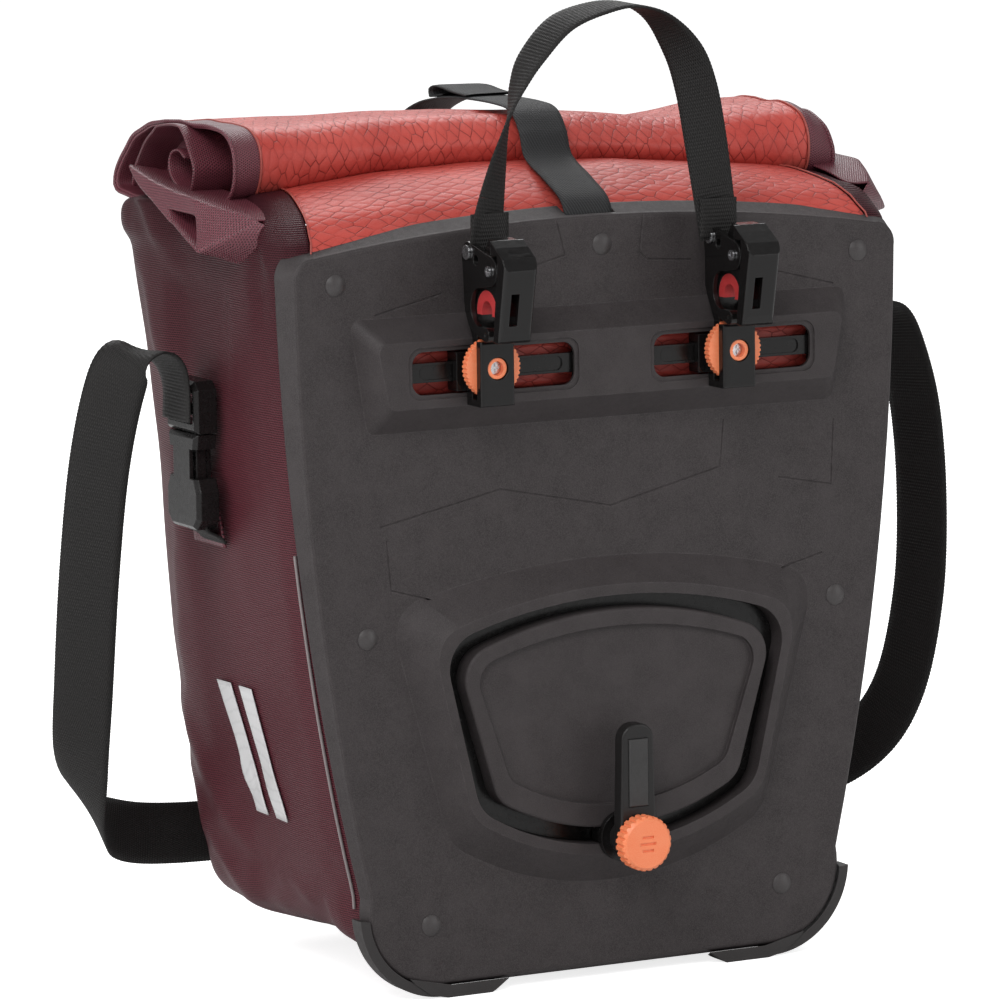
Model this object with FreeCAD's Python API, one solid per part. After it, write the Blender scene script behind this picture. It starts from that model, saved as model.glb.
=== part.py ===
import FreeCAD, Part
import math
import os

# Roll-top rear pannier bag. Units are millimetres.
# Everything is drawn in bag coordinates: x across the bag, y = 0 on the rack side of the back panel and
# growing into the bag, z = 0 on the floor. export() moves it so that the rack rail axis is the origin.

os.makedirs("parts", exist_ok=True)
V = FreeCAD.Vector

# rack rail held by the hooks
RAIL_Y = -27.5
RAIL_Z = 323.5
RAIL_R = 5.0

# back panel
PANEL_HALF = 159.0
PANEL_SIDE_R = 1360.0
PANEL_SIDE_Z = 352.0
PANEL_TOP = 362.0
PANEL_SHOULDER = (148.0, 350.2)
PANEL_BOTTOM = 6.0
PANEL_T = 3.0
FLANGE_FLARE = 4.0
FLANGE_TOP_DEPTH = 12.0
FLANGE_LOW_DEPTH = 7.0
PANEL_EDGE_R = 2.4

# raised housing that holds the hook rails
HOUSING_OUT = 12.0
HOUSING_WALL = 2.5
HOUSING_BASE = (131.0, 320.5, 123.0, 267.0)
HOUSING_FACE = (123.0, 310.0, 117.0, 279.0)
SLOT_INNER = 21.0
SLOT_OUTER = 105.0
SLOT_Z = 295.0
SLOT_H = 20.0
SLOT_R = 6.0
SLOT_RIM = 2.0

# hook rails and hooks
HOOK_X = (-69.0, 58.0)
BAR_Z = (290.5, 299.5)
BAR_Y = (-8.5, -4.5)
WHEEL_Z = 297.0
WHEEL_R = 14.0
WHEEL_Y = (-22.2, -18.0)
KNURLS = 40
HOOK_CORE = 5.6
HOOK_JAW = 8.5
HOOK_BLOCK = 8.7
BLOCK_Z = (279.5, 303.0)
FACE_TOP = 309.5
HOOK_BACK = -12.6
HOOK_FRONT = -27.0
MOUTH_R = 10.0
PIVOT = (-36.0, 343.0)
PIVOT_R = 1.8
PIVOT_HEAD_R = 2.4
PIN = (-14.5, 350.0)
PIN_R = 2.0
PIN_HEAD_R = 3.3
EYE = (-22.5, 347.2)
EYE_R = 2.4
LEVER_X = (5.9, 8.5)
KNUCKLE = (-31.5, 313.3)
KNUCKLE_R = 3.3
SCREW_R = 2.0
SCREW_HEAD_R = 3.1
HUB_R = 4.9
HUB_FRONT = -26.2
RUN = 0.05

# lower track and its hook
TRACK_Z = 197.5
TRACK_R = 127.0
TRACK_HALF = 4.0
RIM_OUT = 12.0
SHIELD_BASE = (113.5, 184.0, 201.5, 84.0, 150.5)
SHIELD_RIM = (97.0, 171.0, 189.5, 77.5, 136.0)
SHIELD_GROOVE = (91.5, 167.5, 184.5, 73.5, 131.0)
SHIELD_ISLAND = (83.5, 159.5, 178.0, 64.0, 123.0)
SHIELD_RECESS = (76.0, 155.5, 170.0, 57.5, 112.0)
MOUND_CORNER_R = 28.0
GROOVE_CORNER_R = 18.0
ISLAND_CORNER_R = 16.0
RECESS_CORNER_R = 12.0
ARM_PIVOT_Z = 70.5
ARM_HALF = 9.5
ARM_Y = (-30.5, -23.5)
ARM_TOP = 126.0
PAD_Z = (87.0, 119.0)
POST_R = 4.0
KNOB_R = 13.0
KNOB_Y = (-39.5, -31.5)
KNOB_SCREW_Y = -37.0
KNOB_NOTCHES = 24
NOTCH_R = 0.8

# corner guards
GUARD_OUT = 5.0

# rivets
RIVET_AT = ((138.0, 337.0), (124.5, 172.5), (94.0, 35.0))
RIVET_TOP_Z = 348.0
RIVET_R = 5.0
RIVET_HOLE_R = 2.0
WASHER_R = 6.0
WASHER_T = 1.2

# fabric body
CLOTH = 2.0
CLOTH_STEP = 12.6
SEAM_IN = 17.0
SIDE_OUT = 3.0
BACK_CORNER_R = 24.0
NECK_Z = 345.0
NECK_HALF = 132.0
BOTTOM_Z = 34.0
# height, front face, back face, how much narrower than the panel
BAG_LEVELS = (
    (4.0, 30.0, 130.0, 71.6),
    (17.0, 16.0, 140.0, 47.0),
    (24.0, 9.0, 148.0, 23.4),
    (28.5, 6.0, 157.0, 8.0),
    (34.0, 5.2, 168.0, 0.0),
    (60.0, 5.2, 181.0, 0.0),
    (110.0, 5.2, 177.0, 0.0),
    (211.0, 5.2, 167.0, 0.0),
    (287.0, 5.2, 171.0, 0.0),
    (343.0, 5.2, 187.0, 0.0),
    (350.0, 10.0, 190.0, 1.0),
    (355.0, 20.0, 191.0, 2.0),
    (360.0, 34.0, 191.0, 4.0),
)

# faint moulded lines on the panel's face, as x and z
GROOVE_W = 0.8
GROOVE_DEEP = 0.4
MOULD_LINES = (
    ((-24, 361.5), (-19.5, 344), (-38, 339.5)),
    ((22, 361.5), (20, 343), (24, 339.5), (47, 338)),
    ((-118, 322), (-84, 330)),
    ((90, 330.5), (124, 322)),
    ((-117, 224), (-55, 237), (3, 225), (62, 239), (64, 261)),
    ((-114, 217), (-112, 194), (-84, 186)),
    ((124, 257), (122.5, 226), (94, 231.5)),
    ((91, 187), (117, 193.5)),
)

# rolled closure
ROLL_Y = (66.0, 190.0)
ROLL_Z = (361.0, 404.0)
ROLL_R = 18.0
ROLL_RED = 140.0
ROLL_HALF = 158.0
ROLL_SKIN = 4.0
STIFFENER_Y = (101.0, 159.0)
STIFFENER_Z = (381.5, 384.0)

# webbing
HANDLE_W = 20.0
CLOSURE_W = 25.0
CLOSURE_X = -4.0
SHOULDER_W = 30.0
WEB_T = 1.8
CLOSURE_T = 1.6

# side release buckles
BUCKLE_Y = 93.0
BUCKLE_HALF = 17.5
BUCKLE_X = (163.4, 174.4)
SOCKET_Z = (217.0, 262.0)
WINDOW_Z = (241.0, 255.0)
PLUG_Z = (262.6, 287.0)
PRONG_Z = 238.0
STRAP_START_X = 176.4

# closure buckle at the back
CLOSURE_Y = (192.6, 204.1)
CLOSURE_HALF = 17.0
CLOSURE_SOCKET_Z = (262.0, 300.0)
CLOSURE_PLUG_Z = (300.6, 330.0)
CLOSURE_PRONG_Z = 276.0


def export(node, shape):
    moved = shape.copy()
    moved.translate(V(0, -RAIL_Y, -RAIL_Z))
    moved.exportStep("parts/" + node + ".step")


def at_y(y):
    return lambda u, v: V(u, y, v)


def at_x(x):
    return lambda u, v: V(x, u, v)


def outline(place, start, steps):
    """Closed wire. A step of two numbers is a line to a point, of four an arc through a point to a point."""
    edges = []
    here = place(*start)
    for step in steps:
        there = place(*step[-2:])
        if len(step) == 4:
            edges.append(Part.Arc(here, place(*step[:2]), there).toShape())
        else:
            edges.append(Part.makeLine(here, there))
        here = there
    return Part.Wire(edges)


def prism(wire, direction):
    return Part.Face(wire).extrude(direction)


def prism_x(points, x0, x1):
    wire = outline(at_x(x0), points[0], points[1:] + [points[0]])
    return prism(wire, V(x1 - x0, 0, 0))


def prism_y(points, y0, y1):
    wire = outline(at_y(y0), points[0], points[1:] + [points[0]])
    return prism(wire, V(0, y1 - y0, 0))


def block(x, y, z):
    return Part.makeBox(x[1] - x[0], y[1] - y[0], z[1] - z[0], V(x[0], y[0], z[0]))


def rod_x(r, x0, x1, y, z):
    return Part.makeCylinder(r, x1 - x0, V(x0, y, z), V(1, 0, 0))


def rod_y(r, y0, y1, x, z):
    return Part.makeCylinder(r, y1 - y0, V(x, y0, z), V(0, 1, 0))


def mirror_x(shape):
    return shape.mirror(V(0, 0, 0), V(1, 0, 0))


def crossing_edges(shape):
    """Edges that run in the y direction, between the front and the back of a loft or a prism."""
    return [e for e in shape.Edges if abs(e.Vertexes[0].Y - e.Vertexes[-1].Y) > 0.5]


def face_edges_at_y(shape, y):
    return [e for e in shape.Edges if all(abs(v.Y - y) < 0.01 for v in e.Vertexes)]


def panel_half(z):
    drop = PANEL_SIDE_R - math.sqrt(PANEL_SIDE_R ** 2 - (PANEL_SIDE_Z - z) ** 2)
    return PANEL_HALF - drop


def panel_outline(grow, y):
    low = PANEL_BOTTOM - grow
    corner_x = 84.0
    side = [(panel_half(z) + grow, z) for z in (50.0, 195.0, 338.0)]
    bend = (116.5 + 0.7 * grow, 18.5 - 0.7 * grow)
    shoulder = (PANEL_SHOULDER[0] + 0.5 * grow, PANEL_SHOULDER[1] + 0.9 * grow)
    ear = (panel_half(346.0) - 2.2 + 0.8 * grow, 346.3 + 0.6 * grow)
    steps = [
        (corner_x, low),
        bend + side[0],
        side[1] + side[2],
        ear + shoulder,
        (0.0, PANEL_TOP + grow, -shoulder[0], shoulder[1]),
        (-ear[0], ear[1], -side[2][0], side[2][1]),
        (-side[1][0], side[1][1], -side[0][0], side[0][1]),
        (-bend[0], bend[1], -corner_x, low),
    ]
    return outline(at_y(y), (-corner_x, low), steps)


def quad_loft(base, face, y_base, y_face, radius):
    wires = []
    for (top, z_top, low, z_low), y in ((base, y_base), (face, y_face)):
        wires.append(outline(at_y(y), (-low, z_low), [(low, z_low), (top, z_top), (-top, z_top), (-low, z_low)]))
    solid = Part.makeLoft(wires, True, True)
    return solid.makeFillet(radius, crossing_edges(solid))


def shield_wire(spec, y):
    top, z_corner, z_top, low, r = spec
    z_low = TRACK_Z - math.sqrt(r ** 2 - low ** 2)
    steps = [(0.0, TRACK_Z - r, low, z_low), (top, z_corner), (0.0, z_top, -top, z_corner), (-low, z_low)]
    return outline(at_y(y), (-low, z_low), steps)


def shield_loft(spec0, y0, spec1, y1, radius):
    solid = Part.makeLoft([shield_wire(spec0, y0), shield_wire(spec1, y1)], True, True)
    return solid.makeFillet(radius, crossing_edges(solid))


def shield_prism(spec, y0, y1, radius):
    solid = prism(shield_wire(spec, y0), V(0, y1 - y0, 0))
    return solid.makeFillet(radius, crossing_edges(solid))


def slot_prism(side, grow, y0, y1):
    x0, x1 = sorted((side * (SLOT_INNER - grow), side * (SLOT_OUTER + grow)))
    solid = block((x0, x1), (y0, y1), (SLOT_Z - SLOT_H / 2 - grow, SLOT_Z + SLOT_H / 2 + grow))
    return solid.makeFillet(SLOT_R, crossing_edges(solid))


def back_panel():
    deep = FLANGE_TOP_DEPTH
    r = PANEL_EDGE_R
    rounded = [panel_outline(-r * (1 - math.sin(a)), r * (1 - math.cos(a))) for a in (0.0, 0.5, 1.0, math.pi / 2)]
    outer = Part.makeLoft(rounded + [panel_outline(FLANGE_FLARE, deep)], True, True)
    inner_flare = FLANGE_FLARE - PANEL_T + 0.2
    inner = Part.makeLoft([panel_outline(-PANEL_T, PANEL_T), panel_outline(inner_flare, deep + 1)], True, True)
    panel = outer.cut(inner)
    taper = [(deep, 400), (deep, 340), (FLANGE_LOW_DEPTH, 40), (FLANGE_LOW_DEPTH, -20), (60, -20), (60, 400)]
    panel = panel.cut(prism_x(taper, -200, 200))
    housing = quad_loft(HOUSING_BASE, HOUSING_FACE, 0.0, -HOUSING_OUT, 6.0)
    mound = shield_loft(SHIELD_BASE, 0.0, SHIELD_RIM, -RIM_OUT, MOUND_CORNER_R)
    panel = panel.fuse([housing, mound])
    wall = HOUSING_WALL
    hollow_base = (HOUSING_BASE[0] - 9, HOUSING_BASE[1] - 12, HOUSING_BASE[2] - 5, HOUSING_BASE[3] + 13)
    hollow_face = (HOUSING_FACE[0] - 3, HOUSING_FACE[1] - 2.5, HOUSING_FACE[2] - 3, HOUSING_FACE[3] + 2.5)
    panel = panel.cut(quad_loft(hollow_base, hollow_face, PANEL_T + 0.5, wall - HOUSING_OUT, 4.0))
    panel = panel.cut(shield_prism(SHIELD_GROOVE, -RIM_OUT - 1, 0.0, GROOVE_CORNER_R))
    for side in (-1, 1):
        panel = panel.cut(slot_prism(side, 0.0, -HOUSING_OUT - 1, -HOUSING_OUT + wall + 1))
        panel = panel.cut(slot_prism(side, SLOT_RIM, -HOUSING_OUT - 1, -HOUSING_OUT + 0.8))
    for x, z in rivet_spots():
        panel = panel.cut(rod_y(RIVET_HOLE_R, -1, PANEL_T + 1, x, z))
    notch = CLOSURE_W / 2 + 0.5
    panel = panel.cut(block((CLOSURE_X - notch, CLOSURE_X + notch), (PANEL_T, deep + 5), (350, 370)))
    for line in MOULD_LINES:
        for start, end in zip(line, line[1:]):
            panel = panel.cut(mould_groove(start, end))
    return panel.removeSplitter()


def mould_groove(start, end):
    """A shallow straight groove in the panel's face."""
    length = math.hypot(end[0] - start[0], end[1] - start[1])
    du, dv = [(b - a) / length * GROOVE_W / 2 for a, b in zip(start, end)]
    ring = [(start[0] - du - dv, start[1] - dv + du), (end[0] + du - dv, end[1] + dv + du),
            (end[0] + du + dv, end[1] + dv - du), (start[0] - du + dv, start[1] - dv - du)]
    return prism_y(ring, -1.0, GROOVE_DEEP)


def front_wall_y(z):
    """Where the bag's front wall stands at a height, taken as straight between its levels."""
    for low, high in zip(BAG_LEVELS, BAG_LEVELS[1:]):
        if z <= high[0]:
            share = (z - low[0]) / (high[0] - low[0])
            return low[1] + share * (high[1] - low[1])
    return BAG_LEVELS[-1][1]


def washer_y(z):
    """The rack side of a washer that lies against the inside of the bag's front wall."""
    reach = max(front_wall_y(z - WASHER_R), front_wall_y(z + WASHER_R))
    return reach + CLOTH + 0.1


def rivet_spots():
    spots = [(0.0, RIVET_TOP_Z)]
    for x, z in RIVET_AT:
        spots += [(-x, z), (x, z)]
    return spots


def panel_rivets():
    solids = []
    for x, z in rivet_spots():
        ball = Part.makeSphere(8.0, V(x, 6.0, z))
        dome = ball.common(rod_y(RIVET_R, -3, 0, x, z))
        shank = rod_y(RIVET_HOLE_R - RUN, 0, washer_y(z) + WASHER_T + 0.1, x, z)
        solids.append(dome.fuse(shank).removeSplitter())
    return Part.makeCompound(solids)


def rivet_washers():
    solids = []
    for x, z in rivet_spots():
        y0 = washer_y(z)
        ring = rod_y(WASHER_R, y0, y0 + WASHER_T, x, z)
        solids.append(ring.cut(rod_y(RIVET_HOLE_R, y0 - 1, y0 + 3, x, z)))
    return Part.makeCompound(solids)


def corner_guard():
    """Moulded foot and corner guard, drawn for the +x side; it wraps the outside of the panel's corner."""
    foot = prism_y([(54, 5.9), (61, 1), (63, 0), (86, 0), (95, 2), (103, 8), (106, 11), (84, 5.9)], -1.2, 12.4)
    band = prism(panel_outline(GUARD_OUT, -0.6), V(0, 9.6, 0))
    keep = prism_y([(84, 0), (160, 0), (160, 44), (126, 40), (100, 22), (84, 9)], -5, 20)
    band = band.common(keep)
    guard = foot.fuse(band)
    inside = [panel_outline(0.15, -0.61), panel_outline(FLANGE_FLARE + 0.25, FLANGE_TOP_DEPTH)]
    hollow = Part.makeLoft(inside, True, True)
    back = prism(panel_outline(FLANGE_FLARE + 0.25, FLANGE_TOP_DEPTH), V(0, 10, 0))
    guard = guard.cut(hollow).cut(back)
    solids = sorted(guard.Solids, key=lambda s: -s.Volume)
    return solids[0].removeSplitter()


def hook_rail(side):
    x0, x1 = sorted((side * (SLOT_INNER - 2), side * (SLOT_OUTER + 2)))
    bar = block((x0, x1), BAR_Y, BAR_Z)
    ends = []
    for near in (SLOT_INNER - 2.0, SLOT_OUTER + 1.6):
        e0, e1 = sorted((side * near, side * (near + (-6.0 if near < SLOT_OUTER else 6.0))))
        ends.append(block((e0, e1), (-HOUSING_OUT + HOUSING_WALL, BAR_Y[1]), (286.5, 303.5)))
    rail = bar.fuse(ends)
    for centre, half in ((SLOT_INNER + 21.0, 16.0), (SLOT_OUTER - 21.0, 16.0)):
        track = block((side * centre - half, side * centre + half), (BAR_Y[0] - 1, BAR_Y[0] + 0.8), (291.7, 298.3))
        rail = rail.cut(track.makeFillet(3.0, crossing_edges(track)))
    return rail.removeSplitter()


def track_plate():
    top, z_corner, z_top, low, r = SHIELD_GROOVE
    spec = (top - 0.3, z_corner - 0.3, z_top - 0.3, low - 0.3, r - 0.3)
    return shield_prism(spec, -2.0, 0.0, GROOVE_CORNER_R - 0.3)


def centre_shield():
    island = shield_prism(SHIELD_ISLAND, -RIM_OUT, -2.0, ISLAND_CORNER_R)
    rim = face_edges_at_y(island, -RIM_OUT)
    island = island.makeFillet(1.5, rim)
    recess = shield_prism(SHIELD_RECESS, -RIM_OUT - 1, -RIM_OUT + 2.5, RECESS_CORNER_R)
    return island.cut(recess).removeSplitter()


def track_shoe():
    half_angle = math.radians(4.5)
    half = TRACK_HALF - 0.5
    y0, y1 = -9.5, -3.0

    def on(r, a):
        return (r * math.sin(a), TRACK_Z - r * math.cos(a))

    outer, inner = TRACK_R + half, TRACK_R - half
    start = on(outer, -half_angle)
    steps = [
        on(outer, 0) + on(outer, half_angle),
        on(inner, half_angle),
        on(inner, 0) + on(inner, -half_angle),
        start,
    ]
    shoe = prism(outline(at_y(y0), start, steps), V(0, y1 - y0, 0))
    neck = rod_y(3.0, -13.0, y0, 0, ARM_PIVOT_Z)
    disc = rod_y(12.0, -16.0, -12.8, 0, ARM_PIVOT_Z)
    post = rod_y(POST_R, KNOB_Y[1] + 0.3, -16.0, 0, ARM_PIVOT_Z)
    body = shoe.fuse([neck, disc, post])
    return body.cut(rod_y(SCREW_R, -40, -8.0, 0, ARM_PIVOT_Z)).removeSplitter()


def strut_arm():
    r = ARM_HALF
    z0 = ARM_PIVOT_Z
    top = ARM_TOP
    start = (-r, z0)
    steps = [
        (0.0, z0 - r, r, z0),
        (r - 1.2, top - 7.0),
        (5.6, top - 1.6, 0.0, top),
        (-5.6, top - 1.6, -(r - 1.2), top - 7.0),
        (-r, z0),
    ]
    arm = prism(outline(at_y(ARM_Y[0]), start, steps), V(0, ARM_Y[1] - ARM_Y[0], 0))
    arm = arm.makeFillet(1.2, face_edges_at_y(arm, ARM_Y[0]))
    collar = rod_y(8.0, ARM_Y[1], -16.2, 0, z0)
    arm = arm.fuse(collar)
    arm = arm.cut(rod_y(POST_R + RUN, -40, 0, 0, z0))
    seat = block((-5.2, 5.2), (ARM_Y[0] - 1, ARM_Y[0] + 1.2), (PAD_Z[0] - 0.2, PAD_Z[1] + 0.2))
    return arm.cut(seat).removeSplitter()


def arm_pad():
    pad = block((-5.0, 5.0), (ARM_Y[0] - 0.8, ARM_Y[0] + 1.2), PAD_Z)
    return pad.makeFillet(0.7, face_edges_at_y(pad, ARM_Y[0] - 0.8))


def clamp_knob():
    z0 = ARM_PIVOT_Z
    knob = rod_y(KNOB_R, KNOB_Y[0], KNOB_Y[1], 0, z0)
    knob = knob.makeChamfer(1.6, face_edges_at_y(knob, KNOB_Y[0]))
    for i in range(KNOB_NOTCHES):
        a = 2 * math.pi * i / KNOB_NOTCHES
        x, z = KNOB_R * math.cos(a), z0 + KNOB_R * math.sin(a)
        knob = knob.cut(rod_y(NOTCH_R, KNOB_Y[0] - 1, KNOB_Y[1] + 1, x, z))
    for dz in (-3.2, 0.0, 3.2):
        half = 4.2 if dz == 0 else 3.0
        groove = block((-half, half), (KNOB_Y[0] - 1, KNOB_Y[0] + 0.7), (z0 + dz - 0.6, z0 + dz + 0.6))
        knob = knob.cut(groove)
    return knob.cut(rod_y(SCREW_R - RUN, KNOB_SCREW_Y, 0, 0, z0)).removeSplitter()


def knob_screw():
    return rod_y(SCREW_R - RUN, KNOB_SCREW_Y, -10.0, 0, ARM_PIVOT_Z)


def hook_slider():
    """Block that fills the slot and runs along the rail bar."""
    slider = block((-14.0, 14.0), (HOOK_BACK, -3.4), (286.0, 304.0))
    slider = slider.cut(block((-15, 15), (BAR_Y[0] - 0.3, BAR_Y[1] + 0.3), (BAR_Z[0] - 0.3, BAR_Z[1] + 0.3)))
    slider = slider.cut(rod_y(SCREW_R + RUN, HOOK_BACK - 1, -9.0, 0, WHEEL_Z))
    return slider


def hook_body():
    core = outline(at_x(-HOOK_CORE), (HOOK_BACK, 303.0), [
        (HOOK_BACK, 310.6), (-9.0, 317.0), (-4.5, 326.0), (-4.5, 341.0), (-24.0, 341.0), (-26.5, 352.0),
        (-31.0, 357.5), (-37.0, 357.0), (-42.0, 354.0), (-49.0, 349.5), (-52.0, 344.0), (-46.0, 315.0),
        (-44.5, 311.5), (-42.5, 310.3), (-40.0, 310.3), (-37.5, 314.0), (-37.5, RAIL_Z),
        (RAIL_Y, RAIL_Z + MOUTH_R, RAIL_Y + MOUTH_R, RAIL_Z), (-17.3, 303.0), (HOOK_BACK, 303.0)])
    core = prism(core, V(2 * HOOK_CORE, 0, 0))
    jaw = [(-39.2, 311.0), (-43.6, 345.0), (-43.6, 350.6), (-37.0, 350.6), (-37.0, 357.0), (-42.0, 354.0),
           (-49.0, 349.5), (-52.0, 344.0), (-46.0, 315.0), (-44.5, 311.5), (-42.5, 310.3)]
    jaw = prism_x(jaw, -HOOK_JAW, HOOK_JAW)
    nose = [e for e in jaw.Edges if all(v.Y < -45.0 for v in e.Vertexes) and e.Length > 20]
    jaw = jaw.makeFillet(2.6, nose)
    lower = block((-HOOK_BLOCK, HOOK_BLOCK), (HOOK_FRONT, HOOK_BACK), BLOCK_Z)
    face = block((-HOOK_BLOCK, HOOK_BLOCK), (HOOK_FRONT, WHEEL_Y[0] - 0.4), (BLOCK_Z[1] - 1, FACE_TOP))
    lower = lower.fuse(face).removeSplitter()
    corners = [e for e in lower.Edges if all(v.Y < HOOK_FRONT + 0.1 for v in e.Vertexes)]
    lower = lower.makeFillet(1.2, corners)
    lower = lower.cut(block((-20, 20), (WHEEL_Y[0] - 0.4, WHEEL_Y[1] + 0.4), (282.6, 320)))
    lower = lower.cut(rod_y(HUB_R + 0.4, HOOK_FRONT - 1, WHEEL_Y[0], 0, WHEEL_Z))
    lower = lower.cut(rod_y(SCREW_R + RUN, WHEEL_Y[0], 0, 0, WHEEL_Z))
    body = core.fuse([jaw, lower])
    body = body.cut(block((-4.4, -0.2), (-53, RAIL_Y - 5), (318.5, 333.4)))
    return body.cut(rod_x(PIVOT_R, -20, 20, *PIVOT)).removeSplitter()


def tube_insert():
    """Clip-in liner that brings the hook's mouth down to the rail size."""
    ring = rod_x(MOUTH_R - 0.05, -5.5, 5.5, RAIL_Y, RAIL_Z).cut(rod_x(RAIL_R, -6, 6, RAIL_Y, RAIL_Z))
    return ring.cut(block((-6, 6), (-50, 0), (300, RAIL_Z - 1.7)))


def pivot_screw():
    shank = rod_x(PIVOT_R, -8.7, 8.7, *PIVOT)
    head = rod_x(PIVOT_HEAD_R, -9.7, -8.7, *PIVOT)
    tail = rod_x(PIVOT_HEAD_R, 8.7, 9.7, *PIVOT)
    cross = block((-9.8, -9.2), (PIVOT[0] - 1.7, PIVOT[0] + 1.7), (PIVOT[1] - 0.35, PIVOT[1] + 0.35))
    across = block((-9.8, -9.2), (PIVOT[0] - 0.35, PIVOT[0] + 0.35), (PIVOT[1] - 1.7, PIVOT[1] + 1.7))
    return shank.fuse([head, tail]).cut(cross).cut(across).removeSplitter()


def clamp_screw():
    """Cross-head screw whose head sits down inside the wheel's hub."""
    y0 = WHEEL_Y[0] + 0.5
    shank = rod_y(SCREW_R, y0, -9.3, 0, WHEEL_Z)
    head = rod_y(SCREW_HEAD_R, y0 - 1.6, y0, 0, WHEEL_Z)
    cross = block((-2.1, 2.1), (y0 - 2, y0 - 1.0), (WHEEL_Z - 0.45, WHEEL_Z + 0.45))
    across = block((-0.45, 0.45), (y0 - 2, y0 - 1.0), (WHEEL_Z - 2.1, WHEEL_Z + 2.1))
    return shank.fuse(head).cut(cross).cut(across).removeSplitter()


def thumbwheel():
    disc = rod_y(WHEEL_R, WHEEL_Y[0], WHEEL_Y[1], 0, WHEEL_Z)
    for i in range(KNURLS):
        a = 2 * math.pi * i / KNURLS
        disc = disc.cut(rod_y(0.55, -30, -10, WHEEL_R * math.cos(a), WHEEL_Z + WHEEL_R * math.sin(a)))
    hub = rod_y(HUB_R, HUB_FRONT, WHEEL_Y[0], 0, WHEEL_Z)
    wheel = disc.fuse(hub).cut(rod_y(SCREW_HEAD_R + 0.2, HUB_FRONT - 1, WHEEL_Y[0] + 0.5, 0, WHEEL_Z))
    return wheel.cut(rod_y(SCREW_R, -30, -10, 0, WHEEL_Z)).removeSplitter()


def hook_lever():
    plates = []
    for x0 in (-LEVER_X[1], LEVER_X[0]):
        plate = outline(at_x(x0), (-36.0, 350.0), [
            (-43.0, 343.0, -36.0, 336.0), (-27.0, 334.6), (-16.9, 325.4, -25.5, 316.6), (-31.5, 316.6),
            (-34.8, 313.3, -31.5, 310.0), (-24.0, 312.2), (-15.0, 316.0), (-11.0, 323.0), (-9.2, 345.0),
            (-9.6, 351.5, -14.5, 355.0)] + [(-36.0, 350.0)])
        plates.append(prism(plate, V(LEVER_X[1] - LEVER_X[0], 0, 0)))
    bar = rod_x(KNUCKLE_R, -LEVER_X[1], LEVER_X[1], *KNUCKLE)
    lever = plates[0].fuse([plates[1], bar])
    lever = lever.cut(rod_x(PIVOT_R + RUN, -20, 20, *PIVOT))
    lever = lever.cut(rod_x(PIN_R, -20, 20, *PIN))
    lever = lever.cut(rod_x(EYE_R, -20, 20, *EYE))
    dimple = rod_x(1.0, -LEVER_X[1] - 1, -LEVER_X[1] + 0.8, *KNUCKLE)
    return lever.cut(dimple).removeSplitter()


def handle_pin():
    shank = rod_x(PIN_R, -8.6, 8.6, *PIN)
    heads = [rod_x(PIN_HEAD_R, -9.6, -8.6, *PIN), rod_x(PIN_HEAD_R, 8.6, 9.6, *PIN)]
    return shank.fuse(heads).removeSplitter()


def bag_half(z):
    """Half width of the panel outline with its lower corner, at any height."""
    if z >= 50.0:
        return panel_half(z)
    t = (50.0 - z) / 50.0
    return panel_half(50.0) - 32.0 * (1 - math.sqrt(max(0.0, 1 - t ** 2)))


def bag_section(level, grow):
    z, y_front, y_back, narrow = level
    step = max(CLOTH_STEP, y_front + 0.8)
    front = bag_half(z) - 5.0 - narrow + grow
    wide = bag_half(z) + SIDE_OUT - narrow + grow
    y0, y1 = y_front - grow, y_back + grow
    ys = step - grow
    r = BACK_CORNER_R + grow
    k = r * (1 - math.sqrt(0.5))
    place = lambda u, v: V(u, v, z)
    steps = [
        (front, y0), (front, ys), (wide, ys), (wide, y1 - r),
        (wide - k, y1 - k, wide - r, y1), (-(wide - r), y1),
        (-(wide - k), y1 - k, -wide, y1 - r), (-wide, ys), (-front, ys), (-front, y0),
    ]
    return outline(place, (-front, y0), steps)


def bag_solid(grow):
    wires = []
    for i, level in enumerate(BAG_LEVELS):
        z = level[0]
        if i == 0:
            z -= grow
        if i == len(BAG_LEVELS) - 1:
            z += grow
        wires.append(bag_section((z,) + level[1:], grow))
    return Part.makeLoft(wires, True, True)


def side_region(side):
    edge = [(side * (bag_half(z) - SEAM_IN), z) for z in (-10.0, 6.0, 20.0, 50.0, 110.0, 211.0, 287.0, 400.0)]
    return prism_y(edge + [(side * 300, 400), (side * 300, -10)], -20, 260)


def bag_panels():
    shell = bag_solid(0.0).cut(bag_solid(-CLOTH))
    shell = shell.cut(back_panel())
    for x, z in rivet_spots():
        shell = shell.cut(rod_y(RIVET_HOLE_R, 0, 20, x, z))
    left, right = side_region(-1), side_region(1)
    lip = [(37.0, 360.0), (62.0, 360.0), (64.0, 376.0), (59.0, 380.0), (40.0, 370.0)]
    middle = shell.cut(left).cut(right)
    wide = (-200, 200)
    front = middle.common(block(wide, (0, 30), (BOTTOM_Z, NECK_Z)))
    neck = middle.common(block(wide, (0, 260), (NECK_Z, 420)))
    bottom = middle.common(block(wide, (0, 260), (-20, BOTTOM_Z)))
    back = middle.common(block(wide, (30, 260), (BOTTOM_Z, NECK_Z)))
    neck = Part.makeCompound(neck.Solids + [prism_x(lip, -NECK_HALF, NECK_HALF)])
    return {
        "bag_side_left": shell.common(left), "bag_side_right": shell.common(right),
        "bag_front": front, "bag_neck": neck, "bag_bottom": bottom, "bag_back": back,
    }


def roll_block(x0, x1, inset):
    solid = block((x0, x1), (ROLL_Y[0] + inset, ROLL_Y[1] - inset), (ROLL_Z[0] + inset, ROLL_Z[1] - inset))
    edges = [e for e in solid.Edges if abs(e.Vertexes[0].X - e.Vertexes[-1].X) > 1]
    return solid.makeFillet(ROLL_R - inset, edges)


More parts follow.
